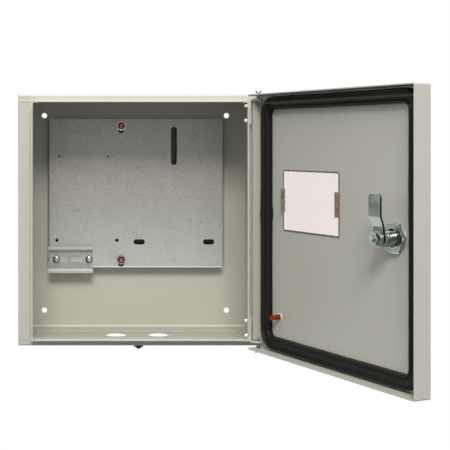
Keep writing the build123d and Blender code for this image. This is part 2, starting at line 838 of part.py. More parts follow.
def lock_spindle():
    """Turning plug: head with a key slot, round body, square for the cam, threaded end."""
    face = door_face_y - bezel_height
    body_end = cam_near_y
    z = lock_centre_z
    head = rod_y(lock_x, z, face, face + spindle_head_height, spindle_head_diameter / 2)
    head = chamfer(head.faces().sort_by(Axis.Y)[0].edges(), spindle_head_height / 5)
    plug = head + rod_y(lock_x, z, face + spindle_head_height, body_end, spindle_diameter / 2)
    key = SlotOverall(key_slot_length, key_slot_width, rotation=90)
    plug -= prism_y(Pos(lock_x, z) * key, face - 1, face + key_slot_depth)
    plug += prism_y(Pos(lock_x, z) * Rectangle(cam_square, cam_square), body_end, cam_washer_y)
    tip_end = cam_nut_y + cam_nut_height + cam_bolt_tip
    tip = rod_y(lock_x, z, cam_washer_y, tip_end, cam_bolt_diameter / 2)
    return plug + chamfer(tip.faces().sort_by(Axis.Y)[-1].edges(), cam_bolt_diameter / 8)


def lock_cam():
    """Cranked tongue, standing up where the door is unlocked."""
    t = cam_thickness
    level = cam_offset
    points = [
        (-cam_hub_radius, 0),
        (cam_bend_start, 0),
        (cam_bend_end, level),
        (cam_reach, level),
        (cam_reach, level + t),
        (cam_bend_end, level + t),
        (cam_bend_start, t),
        (-cam_hub_radius, t),
    ]
    r_in = cam_fold_radius
    r_out = cam_fold_radius + t
    crank = outline_face(points, [0, r_in, r_out, 0, 0, r_in, r_out, 0])
    side_plane = Plane(origin=(cam_tip_width / 2, 0, 0), x_dir=(0, 0, 1), z_dir=(-1, 0, 0))
    strip = extrude(side_plane * crank, amount=cam_tip_width)
    hub = Circle(cam_hub_radius)
    near = cam_near_width / 2
    tip = cam_tip_width / 2
    front = Polyline(
        (-near, 0),
        (-near, cam_bend_start),
        (-tip, cam_bend_end),
        (-tip, cam_reach - cam_corner),
        (cam_corner - tip, cam_reach),
        (tip - cam_corner, cam_reach),
        (tip, cam_reach - cam_corner),
        (tip, cam_bend_end),
        (near, cam_bend_start),
        (near, 0),
        close=True,
    )
    outline = hub + make_face(front)
    blank = prism_y(outline, -1, level + 2 * t)
    tongue = strip & blank
    tongue -= block(-cam_square / 2, cam_square / 2, -1, t + 1, -cam_square / 2, cam_square / 2)
    return Pos(lock_x, cam_near_y, lock_centre_z) * tongue


def cam_washer():
    """Washer on the cam."""
    bore = cam_bolt_diameter / 2 + thread_clearance
    disc = rod_y(lock_x, lock_centre_z, cam_washer_y, cam_nut_y, cam_washer_diameter / 2)
    return disc - rod_y(lock_x, lock_centre_z, cam_washer_y - 1, cam_nut_y + 1, bore)


def cam_nut():
    """Nut that clamps the cam on its square."""
    bore = cam_bolt_diameter / 2 + thread_clearance
    return nut_y(lock_x, lock_centre_z, cam_nut_y, cam_nut_y + cam_nut_height, cam_nut_flats, bore)


def build():
    """Make every node and write it."""
    os.makedirs("parts", exist_ok=True)
    paint = (0.72, 0.71, 0.66)
    zinc = (0.62, 0.65, 0.66)
    copper = (0.60, 0.30, 0.20)
    black = (0.08, 0.08, 0.08)
    rail_screws = [rail_screw(x) for x in (rail_screw_left, rail_screw_right)]
    rail_nuts = [rail_nut(x) for x in (rail_screw_left, rail_screw_right)]
    fixed = {
        "body_wrap": (collar_with_rivet_holes(body_wrap()), paint),
        "body_top": (body_cap(1), paint),
        "body_bottom": (body_bottom(), paint),
        "mounting_plate": (mounting_plate(), zinc),
        "plate_studs": (on_studs(plate_stud), copper),
        "plate_spacers": (on_studs(plate_spacer), zinc),
        "plate_washers": (on_studs(plate_washer), zinc),
        "plate_nuts": (on_studs(plate_nut), zinc),
        "din_rail": (din_rail(), zinc),
        "din_rail_screws": (Compound(children=rail_screws), zinc),
        "din_rail_nuts": (Compound(children=rail_nuts), zinc),
        "earth_bolt": (earth_bolt(), black),
        "earth_bolt_nuts": (earth_bolt_nuts(), black),
        "hinge_bracket_top": (hinge_bracket(1), paint),
        "hinge_bracket_bottom": (hinge_bracket(-1), paint),
        "hinge_rivets_top": (rivets(1), paint),
        "hinge_rivets_bottom": (rivets(-1), paint),
        "hinge_pin_top": (hinge_pin(1), zinc),
        "hinge_pin_bottom": (hinge_pin(-1), zinc),
    }
    on_door = {
        "door_panel": (door_panel(), paint),
        "door_gasket": (door_gasket(), black),
        "window_pane": (window_pane(), (0.94, 0.92, 0.90)),
        "window_clips": (window_clips(), (0.45, 0.40, 0.30)),
        "window_seal": (window_seal(), (0.42, 0.38, 0.32)),
        "door_earth_stud": (door_earth_stud(), copper),
        "door_stud_ring": (door_stud_ring(), (0.92, 0.92, 0.90)),
        "lock_housing": (lock_housing(), zinc),
        "lock_washer": (lock_washer(), zinc),
        "lock_nut": (lock_nut(), zinc),
        "lock_spindle": (lock_spindle(), zinc),
        "lock_cam": (lock_cam(), zinc),
        "cam_washer": (cam_washer(), zinc),
        "cam_nut": (cam_nut(), zinc),
    }
    for name, (shape, colour) in fixed.items():
        save(name, shape, colour)
    for name, (shape, colour) in on_door.items():
        save(name, swung_open(shape), colour)


build()
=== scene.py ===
"""Looks of a wall-mounted sheet steel distribution box with a windowed door that stands open.

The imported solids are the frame. This script dresses them in their finishes, and makes the pieces
that need a finer surface: the foamed seal, the sealant bead, the threaded studs, the domed screw
heads, the rivets, and the lock's bezel and barrel. Sizes are millimetres, meshes are written in
metres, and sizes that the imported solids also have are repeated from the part's source.
"""

import logging
import math
from collections.abc import Mapping
from dataclasses import dataclass, replace
from enum import Enum

import bpy
import numpy as np
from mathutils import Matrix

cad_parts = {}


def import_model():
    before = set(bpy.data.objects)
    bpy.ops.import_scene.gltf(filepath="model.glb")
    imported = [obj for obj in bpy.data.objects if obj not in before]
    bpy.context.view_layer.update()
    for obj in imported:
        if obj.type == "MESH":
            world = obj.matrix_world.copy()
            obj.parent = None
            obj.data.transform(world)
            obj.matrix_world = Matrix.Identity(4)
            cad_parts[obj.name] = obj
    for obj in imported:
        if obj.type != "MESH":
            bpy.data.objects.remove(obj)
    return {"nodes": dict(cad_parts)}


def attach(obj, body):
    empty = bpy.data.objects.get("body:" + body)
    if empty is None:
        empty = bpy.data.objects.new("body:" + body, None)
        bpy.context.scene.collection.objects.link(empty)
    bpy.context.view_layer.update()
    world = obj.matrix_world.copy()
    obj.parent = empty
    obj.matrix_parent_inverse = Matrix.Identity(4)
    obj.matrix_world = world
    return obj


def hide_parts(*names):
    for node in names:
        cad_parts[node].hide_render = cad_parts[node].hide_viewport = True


logger = logging.getLogger("distribution_box")
Socket = bpy.types.NodeSocket
MM = 0.001

# Axes of the two studs that carry the mounting plate
STUD_X = -20.0
STUD_HEIGHTS = (117.8, -61.2)
STUD_RADIUS = 3.0


def linear(colour: str) -> tuple[float, float, float, float]:
    """Turn an sRGB hex colour into linear RGBA.

    Args:
        colour: Seven characters, such as "#C8C6BA".

    Returns:
        Red, green and blue in linear light, and an alpha of one.
    """
    channels = np.array([int(colour[at:at + 2], 16) for at in (1, 3, 5)]) / 255
    light = np.where(channels <= 0.04045, channels / 12.92, ((channels + 0.055) / 1.055) ** 2.4)
    return (*light.tolist(), 1.0)


def add_node(
    tree: bpy.types.NodeTree, kind: str, settings: Mapping[str | int, object] | None = None
) -> bpy.types.Node:
    """Add a node with its settings and its links.

    Args:
        tree: Node tree that takes the node.
        kind: Blender's name for the node type.
        settings: Lower-case names set the node's own properties. Other names, and numbers, are
            its inputs: another node's output is linked, a hex colour is turned linear, and
            anything else becomes the input's value.

    Returns:
        The new node.
    """
    node = tree.nodes.new(kind)
    for key, value in (settings or {}).items():
        if isinstance(key, str) and key.islower():
            setattr(node, key, value)
        elif isinstance(value, Socket):
            tree.links.new(value, node.inputs[key])
        else:
            node.inputs[key].default_value = linear(value) if isinstance(value, str) else value
    return node


class Body(Enum):
    """Moving bodies of the frame."""

    ENCLOSURE = "enclosure"
    DOOR = "door"


class Slot(Enum):
    """Material slots of the record, one named with each new piece; the piece takes its finish from its own
    Finish, not from the slot.
    """

    PAINT = "paint"
    ZINC = "zinc"
    COPPER = "copper"
    DARK_STEEL = "dark_steel"
    FOAM = "foam"
    SEALANT = "sealant"


class Axis(Enum):
    """Axes of the frame."""

    X = "X"
    Y = "Y"
    Z = "Z"


@dataclass(frozen=True)
class Limit:
    """A stretch of an axis over which a share grows from zero to one, in millimetres."""

    axis: Axis
    zero: float
    one: float


@dataclass(frozen=True)
class Graph:
    """Nodes of one material: its tree, the object coordinates in metres and the Principled node."""

    tree: bpy.types.NodeTree
    place: Socket
    shader: bpy.types.Node

    def shade(self, values: Mapping[str, Socket | float]) -> None:
        """Feed the shader.

        Args:
            values: A pattern to link, or a number to set, for each of the shader's inputs.
        """
        for name, value in values.items():
            if isinstance(value, Socket):
                self.tree.links.new(value, self.shader.inputs[name])
            else:
                self.shader.inputs[name].default_value = value

    def colour(self) -> Socket:
        """Give the pattern that feeds the shader's colour."""
        return self.shader.inputs["Base Color"].links[0].from_socket

    def rescale(
        self, value: Socket, start: tuple[float, float], end: tuple[float, float] = (0.0, 1.0)
    ) -> Socket:
        """Carry a value over from one range to another, and hold it there."""
        ranges = dict(zip(("From Min", "From Max", "To Min", "To Max"), (*start, *end)))
        return add_node(self.tree, "ShaderNodeMapRange", {"Value": value, **ranges}).outputs["Result"]

    def layers(self, under: Socket | str, *coats: tuple[Socket, Socket | str]) -> Socket:
        """Lay colours over one another.

        Args:
            under: Lowest colour, a pattern or a hex value.
            coats: For each further colour, the share that it covers and the colour.

        Returns:
            The colour that shows.
        """
        for share, colour in coats:
            pair = {"data_type": "RGBA", 0: share, 6: under, 7: colour}
            under = add_node(self.tree, "ShaderNodeMix", pair).outputs[2]
        return under

    def tones(self, pattern: Socket, dark: str, light: str, reach: float = 0.5) -> Socket:
        """Colour that goes from dark to light as a pattern passes 0.5, over the reach on either side."""
        return self.layers(dark, (self.rescale(pattern, (0.5 - reach, 0.5 + reach)), light))

    def gloss(self, pattern: Socket, at_low: float, at_high: float) -> Socket:
        """Roughness that goes from one value to the other as a pattern rises from 0.3 to 0.7."""
        return self.rescale(pattern, (0.3, 0.7), (at_low, at_high))

    def grain(
        self, size_mm: float, stretch: tuple[float, float, float] = (1.0, 1.0, 1.0), detail: float = 3.0
    ) -> Socket:
        """Noise whose spots have a real size.

        Args:
            size_mm: Size of a spot in millimetres.
            stretch: How much longer a spot is along each axis.
            detail: Octaves of finer noise.

        Returns:
            The noise, from 0 to 1.
        """
        scale = [1 / (size_mm * MM * along) for along in stretch]
        mapped = add_node(self.tree, "ShaderNodeMapping", {"Vector": self.place, "Scale": scale})
        spots = {"Vector": mapped.outputs["Vector"], "Scale": 1.0, "Detail": detail}
        return add_node(self.tree, "ShaderNodeTexNoise", spots).outputs["Fac"]

    def edge(self, width_mm: float, bend: float = 0.35) -> Socket:
        """Share that is one along edges and fades to zero on flat faces.

        It is (1 - n . m) / bend, held to 0 to 1, where n is the face's normal and m the normal
        averaged over a ball of the stated width.

        Args:
            width_mm: Reach from the edge in millimetres.
            bend: Value of 1 - n . m that counts as a full edge.

        Returns:
            The share.
        """
        soft = add_node(self.tree, "ShaderNodeBevel", {"samples": 8, "Radius": width_mm * MM})
        true = add_node(self.tree, "ShaderNodeNewGeometry")
        both = {"operation": "DOT_PRODUCT", 0: soft.outputs["Normal"], 1: true.outputs["True Normal"]}
        turn = add_node(self.tree, "ShaderNodeVectorMath", both).outputs["Value"]
        return self.rescale(turn, (1.0, 1.0 - bend))

    def hairlines(self, length_mm: float, width_mm: float, stretch: tuple[float, float, float]) -> Socket:
        """Share that is one on a few thin wandering lines.

        The lines are where a stretched noise passes 0.5, kept where a second, wider one is high.

        Args:
            length_mm: Distance between lines in millimetres.
            width_mm: Width of a line in millimetres.
            stretch: How much longer the lines are along each axis.

        Returns:
            The share.
        """
        path = self.grain(length_mm, stretch, detail=1.0)
        keep = self.rescale(self.grain(length_mm * 1.3, detail=1.0), (0.56, 0.64))
        off = add_node(self.tree, "ShaderNodeMath", {"operation": "SUBTRACT", 0: path, 1: 0.5})
        size = add_node(self.tree, "ShaderNodeMath", {"operation": "ABSOLUTE", 0: off.outputs[0]})
        line = self.rescale(size.outputs[0], (width_mm / length_mm, 0.0))
        return add_node(self.tree, "ShaderNodeMath", {"operation": "MULTIPLY", 0: line, 1: keep}).outputs[0]

    def along(self, limit: Limit) -> Socket:
        """Share that grows from zero to one over a stretch of an axis."""
        parts = add_node(self.tree, "ShaderNodeSeparateXYZ", {"Vector": self.place})
        return self.rescale(parts.outputs[limit.axis.value], (limit.zero * MM, limit.one * MM))

    def all_of(self, *shares: Socket) -> Socket:
        """Share that is one only where several shares all are.

        Args:
            shares: The shares.

        Returns:
            The least of them.
        """
        least = shares[0]
        for share in shares[1:]:
            pair = {"operation": "MINIMUM", 0: least, 1: share}
            least = add_node(self.tree, "ShaderNodeMath", pair).outputs[0]
        return least

    def total(self, *terms: tuple[Socket, float]) -> Socket:
        """Weighted sum of shares.

        Args:
            terms: Shares and their weights.

        Returns:
            The sum.
        """
        whole: Socket | float = 0.0
        for share, weight in terms:
            term = {"operation": "MULTIPLY_ADD", 0: share, 1: weight, 2: whole}
            whole = add_node(self.tree, "ShaderNodeMath", term).outputs[0]
        return whole

    def relief(self, height: Socket, depth_mm: float, strength: float) -> None:
        """Raise the surface by a height from 0 to 1, times a depth and the share of it that shows."""
        bump = {"Height": height, "Distance": depth_mm * MM, "Strength": strength}
        self.shade({"Normal": add_node(self.tree, "ShaderNodeBump", bump).outputs["Normal"]})


@dataclass(frozen=True)
class Finish:
    """A finish that builds its material once."""

    name: str

    def material(self) -> bpy.types.Material:
        """Give this finish's material, and make it at the first call.

        Returns:
            The material, which is named like the finish.
        """
        found = bpy.data.materials.get(self.name)
        if found:
            return found
        made = bpy.data.materials.new(self.name)
        made.use_nodes = True
        tree = made.node_tree
        tree.nodes.clear()
        place = add_node(tree, "ShaderNodeTexCoord").outputs["Object"]
        shader = add_node(tree, "ShaderNodeBsdfPrincipled")
        add_node(tree, "ShaderNodeOutputMaterial", {"Surface": shader.outputs["BSDF"]})
        self.dress(Graph(tree, place, shader))
        return made

    def dress(self, graph: Graph) -> None:
        """Feed the shader; each finish has its own way."""
        raise NotImplementedError


@dataclass(frozen=True)
class PowderCoat(Finish):
    """Polyester powder coat sprayed and baked on sheet steel: satin, warm light grey, faint orange peel."""

    colour: str = "#CAC9BF"
    shade: str = "#C5C4BA"
    # Colour of the painted highlight along folds and edges, where they catch the light
    edge_highlight_colour: str = "#E6E5DA"
    edge_mm: float = 0.9
    roughness: float = 0.34
    peel_mm: float = 1.6
    cloud_mm: float = 70.0

    def dress(self, graph: Graph) -> None:
        """Cloudy colour, fine dimples, an even satin gloss and painted highlights along folds and edges.

        Args:
            graph: Nodes of the finish's material.
        """
        coat = graph.tones(graph.grain(self.cloud_mm, detail=4.0), self.shade, self.colour)
        peel = graph.grain(self.peel_mm)
        graph.shade({
            "Base Color": graph.layers(coat, (graph.edge(self.edge_mm), self.edge_highlight_colour)),
            "Roughness": graph.gloss(peel, self.roughness - 0.04, self.roughness + 0.05),
        })
        graph.relief(peel, depth_mm=0.03, strength=0.35)


@dataclass(frozen=True)
class BackedCoat(PowderCoat):
    """The same coat on the sheet that carries the plate.

    Behind the plate its inner face is drawn far darker than its paint: only a sliver of light
    reaches it there, so the plate's holes and slots read as black. Just above the floor a
    painted highlight lightens it, where the joint with the floor catches the light.
    """

    dim: str = "#1E1E1B"
    # Colour of the painted highlight just above the floor
    seam_highlight: str = "#F2F1E6"
    inner_face: tuple[Limit, ...] = (Limit(Axis.Y, -3.0, -1.6), Limit(Axis.Y, -0.3, -0.9))
    behind: tuple[Limit, ...] = (
        Limit(Axis.X, -121.0, -114.0), Limit(Axis.X, 121.5, 114.5),
        Limit(Axis.Z, -73.8, -70.8), Limit(Axis.Z, 127.5, 121.0),
    )
    above_floor: Limit = Limit(Axis.Z, -151.7, -152.4)

    def dress(self, graph: Graph) -> None:
        """Coat the sheet, then paint a highlight just above the floor and paint shade behind the plate.

        Args:
            graph: Nodes of the finish's material.
        """
        super().dress(graph)
        # Painted highlight just above the floor, and painted shade behind the plate
        line = graph.all_of(*map(graph.along, (self.above_floor, *self.inner_face)))
        patch = graph.all_of(*map(graph.along, self.behind + self.inner_face))
        graph.shade({"Base Color": graph.layers(graph.colour(), (line, self.seam_highlight), (patch, self.dim))})


@dataclass(frozen=True)
class GalvanisedSheet(Finish):
    """Hot-dip galvanised sheet: dull cool grey, finely mottled, with scratches and a painted highlight on its
    lower cut edge.

    The mottle is drawn at 1.6 mm, coarser than the real skin-passed surface, which would not show.
    The tone deepens upwards as a painted reflection of the dark top of the box, which the real sheet mirrors
    there.
    """

    dark: str = "#95918C"
    light: str = "#BDC4BF"
    # Colour of the painted highlight on the lower cut edge, where it catches the light
    cut: str = "#EDEEE8"
    metallic: float = 0.55
    roughness: float = 0.5
    mottle_mm: float = 1.6
    cloud_mm: float = 26.0
    scratch_mm: float = 14.0
    scratch_width_mm: float = 0.32
    mottle_share: float = 0.72
    cloud_share: float = 0.2
    # Share of the painted reflection that darkens the sheet upwards
    painted_reflection_share: float = 0.62
    scratch_share: float = -0.4
    span: tuple[float, float] = (0.3, 1.22)
    # Stretch of the painted reflection, dark at the top and light at the bottom
    painted_reflection_ramp: Limit = Limit(Axis.Z, 20.0, -72.0)
    # Band of the painted highlight along the plate's lower edge
    painted_edge_highlight_band: Limit = Limit(Axis.Z, -70.4, -70.7)

    def dress(self, graph: Graph) -> None:
        """Mottle, clouds and scratches on a tone that deepens upwards as a painted reflection, and a painted
        highlight on the lower edge.

        Args:
            graph: Nodes of the finish's material.
        """
        mottle = graph.grain(self.mottle_mm, detail=4.0)
        cloud = graph.grain(self.cloud_mm, detail=5.0)
        lines = graph.hairlines(self.scratch_mm, self.scratch_width_mm, (1.0, 1.0, 0.5))
        whole = graph.total(
            (mottle, self.mottle_share), (cloud, self.cloud_share),
            (graph.along(self.painted_reflection_ramp), self.painted_reflection_share), (lines, self.scratch_share),
        )
        body = graph.layers(self.dark, (graph.rescale(whole, self.span), self.light))
        graph.shade({
            "Base Color": graph.layers(body, (graph.along(self.painted_edge_highlight_band), self.cut)),
            "Roughness": graph.gloss(mottle, self.roughness + 0.08, self.roughness - 0.06),
            "Metallic": self.metallic,
        })
        graph.relief(mottle, depth_mm=0.04, strength=0.35)


@dataclass(frozen=True)
class RailStrip(Finish):
    """Zinc-coated rolled strip: grey base like the sheet behind it, and lips drawn lighter as painted
    highlights.
    """

    base: str = "#979A96"
    base_light: str = "#A9ACA7"
    # The next three colours are painted highlights: on the fronts of the lips, lightest on the lower one, and
    # on edges and bent corners
    lip_highlight: str = "#BCBDB5"
    low_lip_highlight: str = "#B9BCB9"
    bend: str = "#FBFBF8"
    mottle_mm: float = 1.8
    lip_front: Limit = Limit(Axis.Y, -25.7, -25.9)
    lower_half: Limit = Limit(Axis.Z, -60.0, -62.0)
    edge_mm: float = 0.8
    edge_bend: float = 0.3
    roughness: float = 0.34
    metallic: float = 0.4

    def dress(self, graph: Graph) -> None:
        """Faintly mottled base, painted highlights on the fronts of the lips, lightest on the lower one, and
        near-white painted highlights on edges and bent corners.

        Args:
            graph: Nodes of the finish's material.
        """
        mottle = graph.grain(self.mottle_mm, (4.0, 1.0, 1.0))
        body = graph.tones(mottle, self.base, self.base_light, reach=0.15)
        lips = graph.layers(self.lip_highlight, (graph.along(self.lower_half), self.low_lip_highlight))
        # Painted highlights on the fronts of the lips and along edges and bent corners
        fronts, bend_highlights = graph.along(self.lip_front), graph.edge(self.edge_mm, self.edge_bend)
        graph.shade({
            "Base Color": graph.layers(body, (fronts, lips), (bend_highlights, self.bend)),
            "Roughness": self.roughness,
            "Metallic": self.metallic,
        })


@dataclass(frozen=True)
class ZincPlate(Finish):
    """Bright zinc electroplate on turned or pressed steel: grey-green, glossy, with near-white painted
    highlights on its edges.
    """

    dark: str = "#6F7572"
    light: str = "#8C928E"
    # Colour of the painted highlight on edges, and on the lower rim of a stud's nut or washer
    painted_highlight: str = "#F2F6F3"
    # Colour of the painted shade in a thread's grooves and in the bore
    groove: str = "#1C1D1B"
    roughness: float = 0.22
    line_mm: float = 0.35
    stain_mm: float = 14.0
    edge_mm: float = 0.7
    edge_bend: float = 0.16
    bright: str = "#B4BCB7"
    slope: tuple[Limit, ...] = ()

    def dress(self, graph: Graph) -> None:
        """Cloudy grey metal with fine tool lines, painted shade in the grooves, and painted highlights on
        edges that catch the light.

        Where a slope is given, the metal is lighter there: the slope of a crank, which mirrors the
        bright side of the room.

        Args:
            graph: Nodes of the finish's material.
        """
        body = graph.tones(graph.grain(self.stain_mm, detail=4.0), self.dark, self.light, reach=0.15)
        if self.slope:
            body = graph.layers(body, (graph.all_of(*map(graph.along, self.slope)), self.bright))
        # Depth in the grooves, by which shade is painted there
        depth = add_node(graph.tree, "ShaderNodeAttribute", {"attribute_name": "groove"}).outputs["Fac"]
        line = graph.grain(self.line_mm, (8.0, 1.0, 1.0), detail=2.0)
        # Painted highlight along edges
        painted_highlight = graph.edge(self.edge_mm, self.edge_bend)
        graph.shade({
            "Base Color": graph.layers(body, (depth, self.groove), (painted_highlight, self.painted_highlight)),
            "Roughness": graph.gloss(line, self.roughness - 0.05, self.roughness + 0.08),
            "Metallic": 1.0,
        })
        graph.relief(line, depth_mm=0.01, strength=0.12)


@dataclass(frozen=True)
class StudZinc(ZincPlate):
    """Plated nut or washer on a stud: painted shade in the countersink round the thread, and a painted
    reflection of the floor on the lower rim.
    """

    # Colour of the painted shade in the countersink round the thread
    countersink_shade: str = "#11110F"
    sink_mm: float = 4.1
    sink_fade_mm: float = 0.15
    rim_mm: float = 3.6
    rim_fade_mm: float = 0.2
    reach_mm: float = 8.0
    reach_fade_mm: float = 0.2

    def dress(self, graph: Graph) -> None:
        """Paint shade on the metal nearer to a stud's axis than the countersink, and a painted reflection
        below the rim.

        Args:
            graph: Nodes of the finish's material.
        """
        super().dress(graph)
        plated = graph.colour()
        flatten = {"operation": "MULTIPLY", 0: graph.place, 1: (1.0, 0.0, 1.0)}
        flat = add_node(graph.tree, "ShaderNodeVectorMath", flatten).outputs["Vector"]
        for height in STUD_HEIGHTS:
            apart = {"operation": "DISTANCE", 0: flat, 1: (STUD_X * MM, 0.0, height * MM)}
            away = add_node(graph.tree, "ShaderNodeVectorMath", apart).outputs["Value"]
            fade = self.sink_fade_mm
            near = graph.rescale(away, ((self.sink_mm + fade) * MM, (self.sink_mm - fade) * MM))
            fade = self.reach_fade_mm
            around = graph.rescale(away, ((self.reach_mm + fade) * MM, (self.reach_mm - fade) * MM))
            top = height - self.rim_mm
            below = graph.along(Limit(Axis.Z, top + self.rim_fade_mm, top - self.rim_fade_mm))
            plated = graph.layers(plated, (near, self.countersink_shade), (graph.all_of(below, around), self.painted_highlight))
        graph.shade({"Base Color": plated})


@dataclass(frozen=True)
class Patchy(Finish):
    """Dull surface in two close tones that lie in small patches, for the finishes named below."""

    dark: str
    light: str
    roughness: float
    patch_mm: float
    detail: float = 4.0
    reach: float = 0.15
    metallic: float = 0.0
    smoother: float = 0.0
    rougher: float = 0.0
    lump_mm: float = 0.0

    def dress(self, graph: Graph) -> None:
        """Patches of two tones, which may also differ in gloss and stand out as lumps.

        Args:
            graph: Nodes of the finish's material.
        """
        patch = graph.grain(self.patch_mm, detail=self.detail)
        graph.shade({
            "Base Color": graph.tones(patch, self.dark, self.light, self.reach),
            "Roughness": graph.gloss(patch, self.roughness - self.smoother, self.roughness + self.rougher),
            "Metallic": self.metallic,
        })
        if self.lump_mm:
            graph.relief(patch, self.lump_mm, strength=0.6)


@dataclass(frozen=True)
class FoamedSeal(Finish):
    """Polyurethane foam poured in place: black, closed satin skin with fine pores and flow lines."""

    dark: str = "#141210"
    light: str = "#1E1C19"
    # Colour of the painted highlight along the groove of the top run, where light catches it
    painted_groove_highlight: str = "#55534E"
    roughness: float = 0.42
    specular: float = 0.16
    cloud_mm: float = 9.0
    pore_mm: float = 0.7
    top_groove: tuple[Limit, ...] = (Limit(Axis.Z, 142.2, 142.6), Limit(Axis.Z, 145.0, 144.6))

    def dress(self, graph: Graph) -> None:
        """Black skin, porous and slightly cloudy, with a painted highlight in the groove of the top run.

        Args:
            graph: Nodes of the finish's material.
        """
        cloud = graph.grain(self.cloud_mm, detail=4.0)
        skin = graph.tones(cloud, self.dark, self.light)
        groove = graph.all_of(*map(graph.along, self.top_groove))
        graph.shade({
            "Base Color": graph.layers(skin, (groove, self.painted_groove_highlight)),
            "Roughness": graph.gloss(cloud, self.roughness - 0.08, self.roughness + 0.1),
            "Specular IOR Level": self.specular,
        })
        graph.relief(graph.grain(self.pore_mm, detail=2.0), depth_mm=0.12, strength=0.5)


@dataclass(frozen=True)
class ClearPane(Finish):
    """Moulded polycarbonate under its thin film: clear, faintly warm, with soft scuffs in the film."""

    shade: str = "#F7ECE7"
    tint: str = "#FBF3EE"
    roughness: float = 0.12
    ior: float = 1.585
    scuff_mm: float = 6.0

    def dress(self, graph: Graph) -> None:
        """Clear plastic whose gloss is dulled in soft patches.

        Args:
            graph: Nodes of the finish's material.
        """
        scuff = graph.grain(self.scuff_mm, (1.0, 1.0, 2.0), detail=5.0)
        dulled = (self.roughness - 0.06, self.roughness + 0.1)
        graph.shade({
            "Base Color": graph.tones(scuff, self.shade, self.tint),
            "Roughness": graph.rescale(scuff, (0.35, 0.7), dulled),
            "Transmission Weight": 1.0,
            "IOR": self.ior,
        })


PAINT = PowderCoat("powder_coated_steel")
BACKED_PAINT = BackedCoat("powder_coated_steel_back")
GALVANISED = GalvanisedSheet("galvanised_steel_sheet")
RAIL_ZINC = RailStrip("zinc_coated_rail_strip")
ZINC = ZincPlate("bright_zinc_plate")
# Lighter copies of the plate as painted reflections: lighter for the lock's nut and washer, lightest for its
# spindle, cam washer and cam nut
NUT_ZINC = ZincPlate("bright_zinc_plate_nut", dark="#848C88", light="#A2AAA6", edge_mm=1.2)
PAINTED_REFLECTION_ZINC = ZincPlate("bright_zinc_plate_painted_reflection", dark="#8F9793", light="#BAC2BE")
CAM_ZINC = ZincPlate("bright_zinc_plate_cam", slope=(Limit(Axis.Z, 10.3, 10.9), Limit(Axis.Z, 21.1, 20.5)))
DULL_ZINC = ZincPlate("dull_zinc_plate", dark="#5A605C", light="#7B827E", painted_highlight="#B4BAB6", roughness=0.36)
WASHER_ZINC = StudZinc("bright_zinc_plate_washer", dark="#666B64", light="#868B84", sink_mm=0.2)
# Nuts on the plate's studs: rougher zinc, drawn in darker tones as painted shade for the dark recess that
# they mirror
STUD_NUT_ZINC = StudZinc(
    "dull_zinc_plate_stud_nut_painted_shade", dark="#4C504B", light="#6C716C", painted_highlight="#B4BAB6", roughness=0.36, rim_mm=5.2
)
# Aluminium rivets under a film of overspray, so they are pale and hardly mirror
ALUMINIUM = ZincPlate("aluminium_rivet", dark="#D2D0CA", light="#EFEDE8", painted_highlight="#F6F5F2", roughness=0.45)
# Thin copper plate on weld studs: reddish brown, dulled by handling
COPPER = Patchy(
    "copper_flashed_steel", "#8E3F26", "#D07A55", 0.38, 1.5, metallic=0.85, smoother=0.05, rougher=0.15
)
DARK_COPPER = replace(COPPER, name="copper_flashed_steel_dark", dark="#672210", light="#A8431F")
# Black oxide on machined steel: near-black and oily, with a dull grey shine
OXIDE = Patchy(
    "black_oxide_steel", "#1B1A18", "#34322E", 0.42, 2.0, reach=0.5, metallic=0.6, smoother=0.08, rougher=0.1
)
FOAM = FoamedSeal("foamed_polyurethane_seal")
PANE = ClearPane("polycarbonate_pane")
# Sealant laid by hand: matt brown-grey, lumpy, with dust in it
SEALANT = Patchy("sealant_bead", "#4E463A", "#8A8172", 0.85, 1.6, lump_mm=0.3)
# Spring clips moulded in smoky plastic: dull brown-grey, dusty
CLIP = Patchy("smoky_moulded_clip", "#5A5040", "#8F846E", 0.55, 3.0, detail=5.0)
# Moulded nylon ring: matt white that has yellowed a little
NYLON = Patchy("white_nylon", "#E4E2DA", "#F1F0EA", 0.6, 2.5, detail=3.0, reach=0.5)


Solids = Mapping[str, bpy.types.Object]


def dress(solids: Solids, finish: Finish, *names: str) -> None:
    """Give solids of the frame that keep their shape their finish.

    Args:
        solids: Objects of the frame by name.
        finish: The finish.
        names: Names of the solids that take it.
    """
    for name in names:
        solids[name].data.materials.clear()
        solids[name].data.materials.append(finish.material())
        logger.info("dressed %s in %s", name, finish.name)


def strips(rows: int, columns: int, closed: bool) -> np.ndarray:
    """Number the quads between neighbouring rows of a grid whose columns run round a loop.

    Args:
        rows: Rows of the grid.
        columns: Points in a row.
        closed: Whether the last row joins the first.

    Returns:
        Four point numbers for each quad.
    """
    index = np.arange(rows * columns).reshape(rows, columns)
    near, far = (index, np.roll(index, -1, 0)) if closed else (index[:-1], index[1:])
    return np.stack([near, np.roll(near, -1, 1), np.roll(far, -1, 1), far], -1).reshape(-1, 4)


def fans(rows: int, columns: int) -> np.ndarray:
    """Number the triangles that close a grid's first and last rows, each with a point of its own.

    Args:
        rows: Rows of the grid.
        columns: Points in a row.

    Returns:
        Three point numbers for each triangle. The closing points follow the grid's points.
    """
    first = np.arange(columns)
    last = first + (rows - 1) * columns
    middle = np.full(columns, rows * columns)
    start = np.stack([middle, np.roll(first, -1), first], -1)
    end = np.stack([middle + 1, last, np.roll(last, -1)], -1)
    return np.concatenate([start, end])


def inside_out(points: np.ndarray, quads: np.ndarray, triangles: np.ndarray) -> bool:
    """Tell whether a closed surface is turned in: the sum of a . (b x c) over its triangles is negative."""
    corner = points[np.concatenate([quads[:, [0, 1, 2]], quads[:, [0, 2, 3]], triangles])]
    return bool(np.einsum("ij,ij->", corner[:, 0], np.cross(corner[:, 1], corner[:, 2])) < 0)


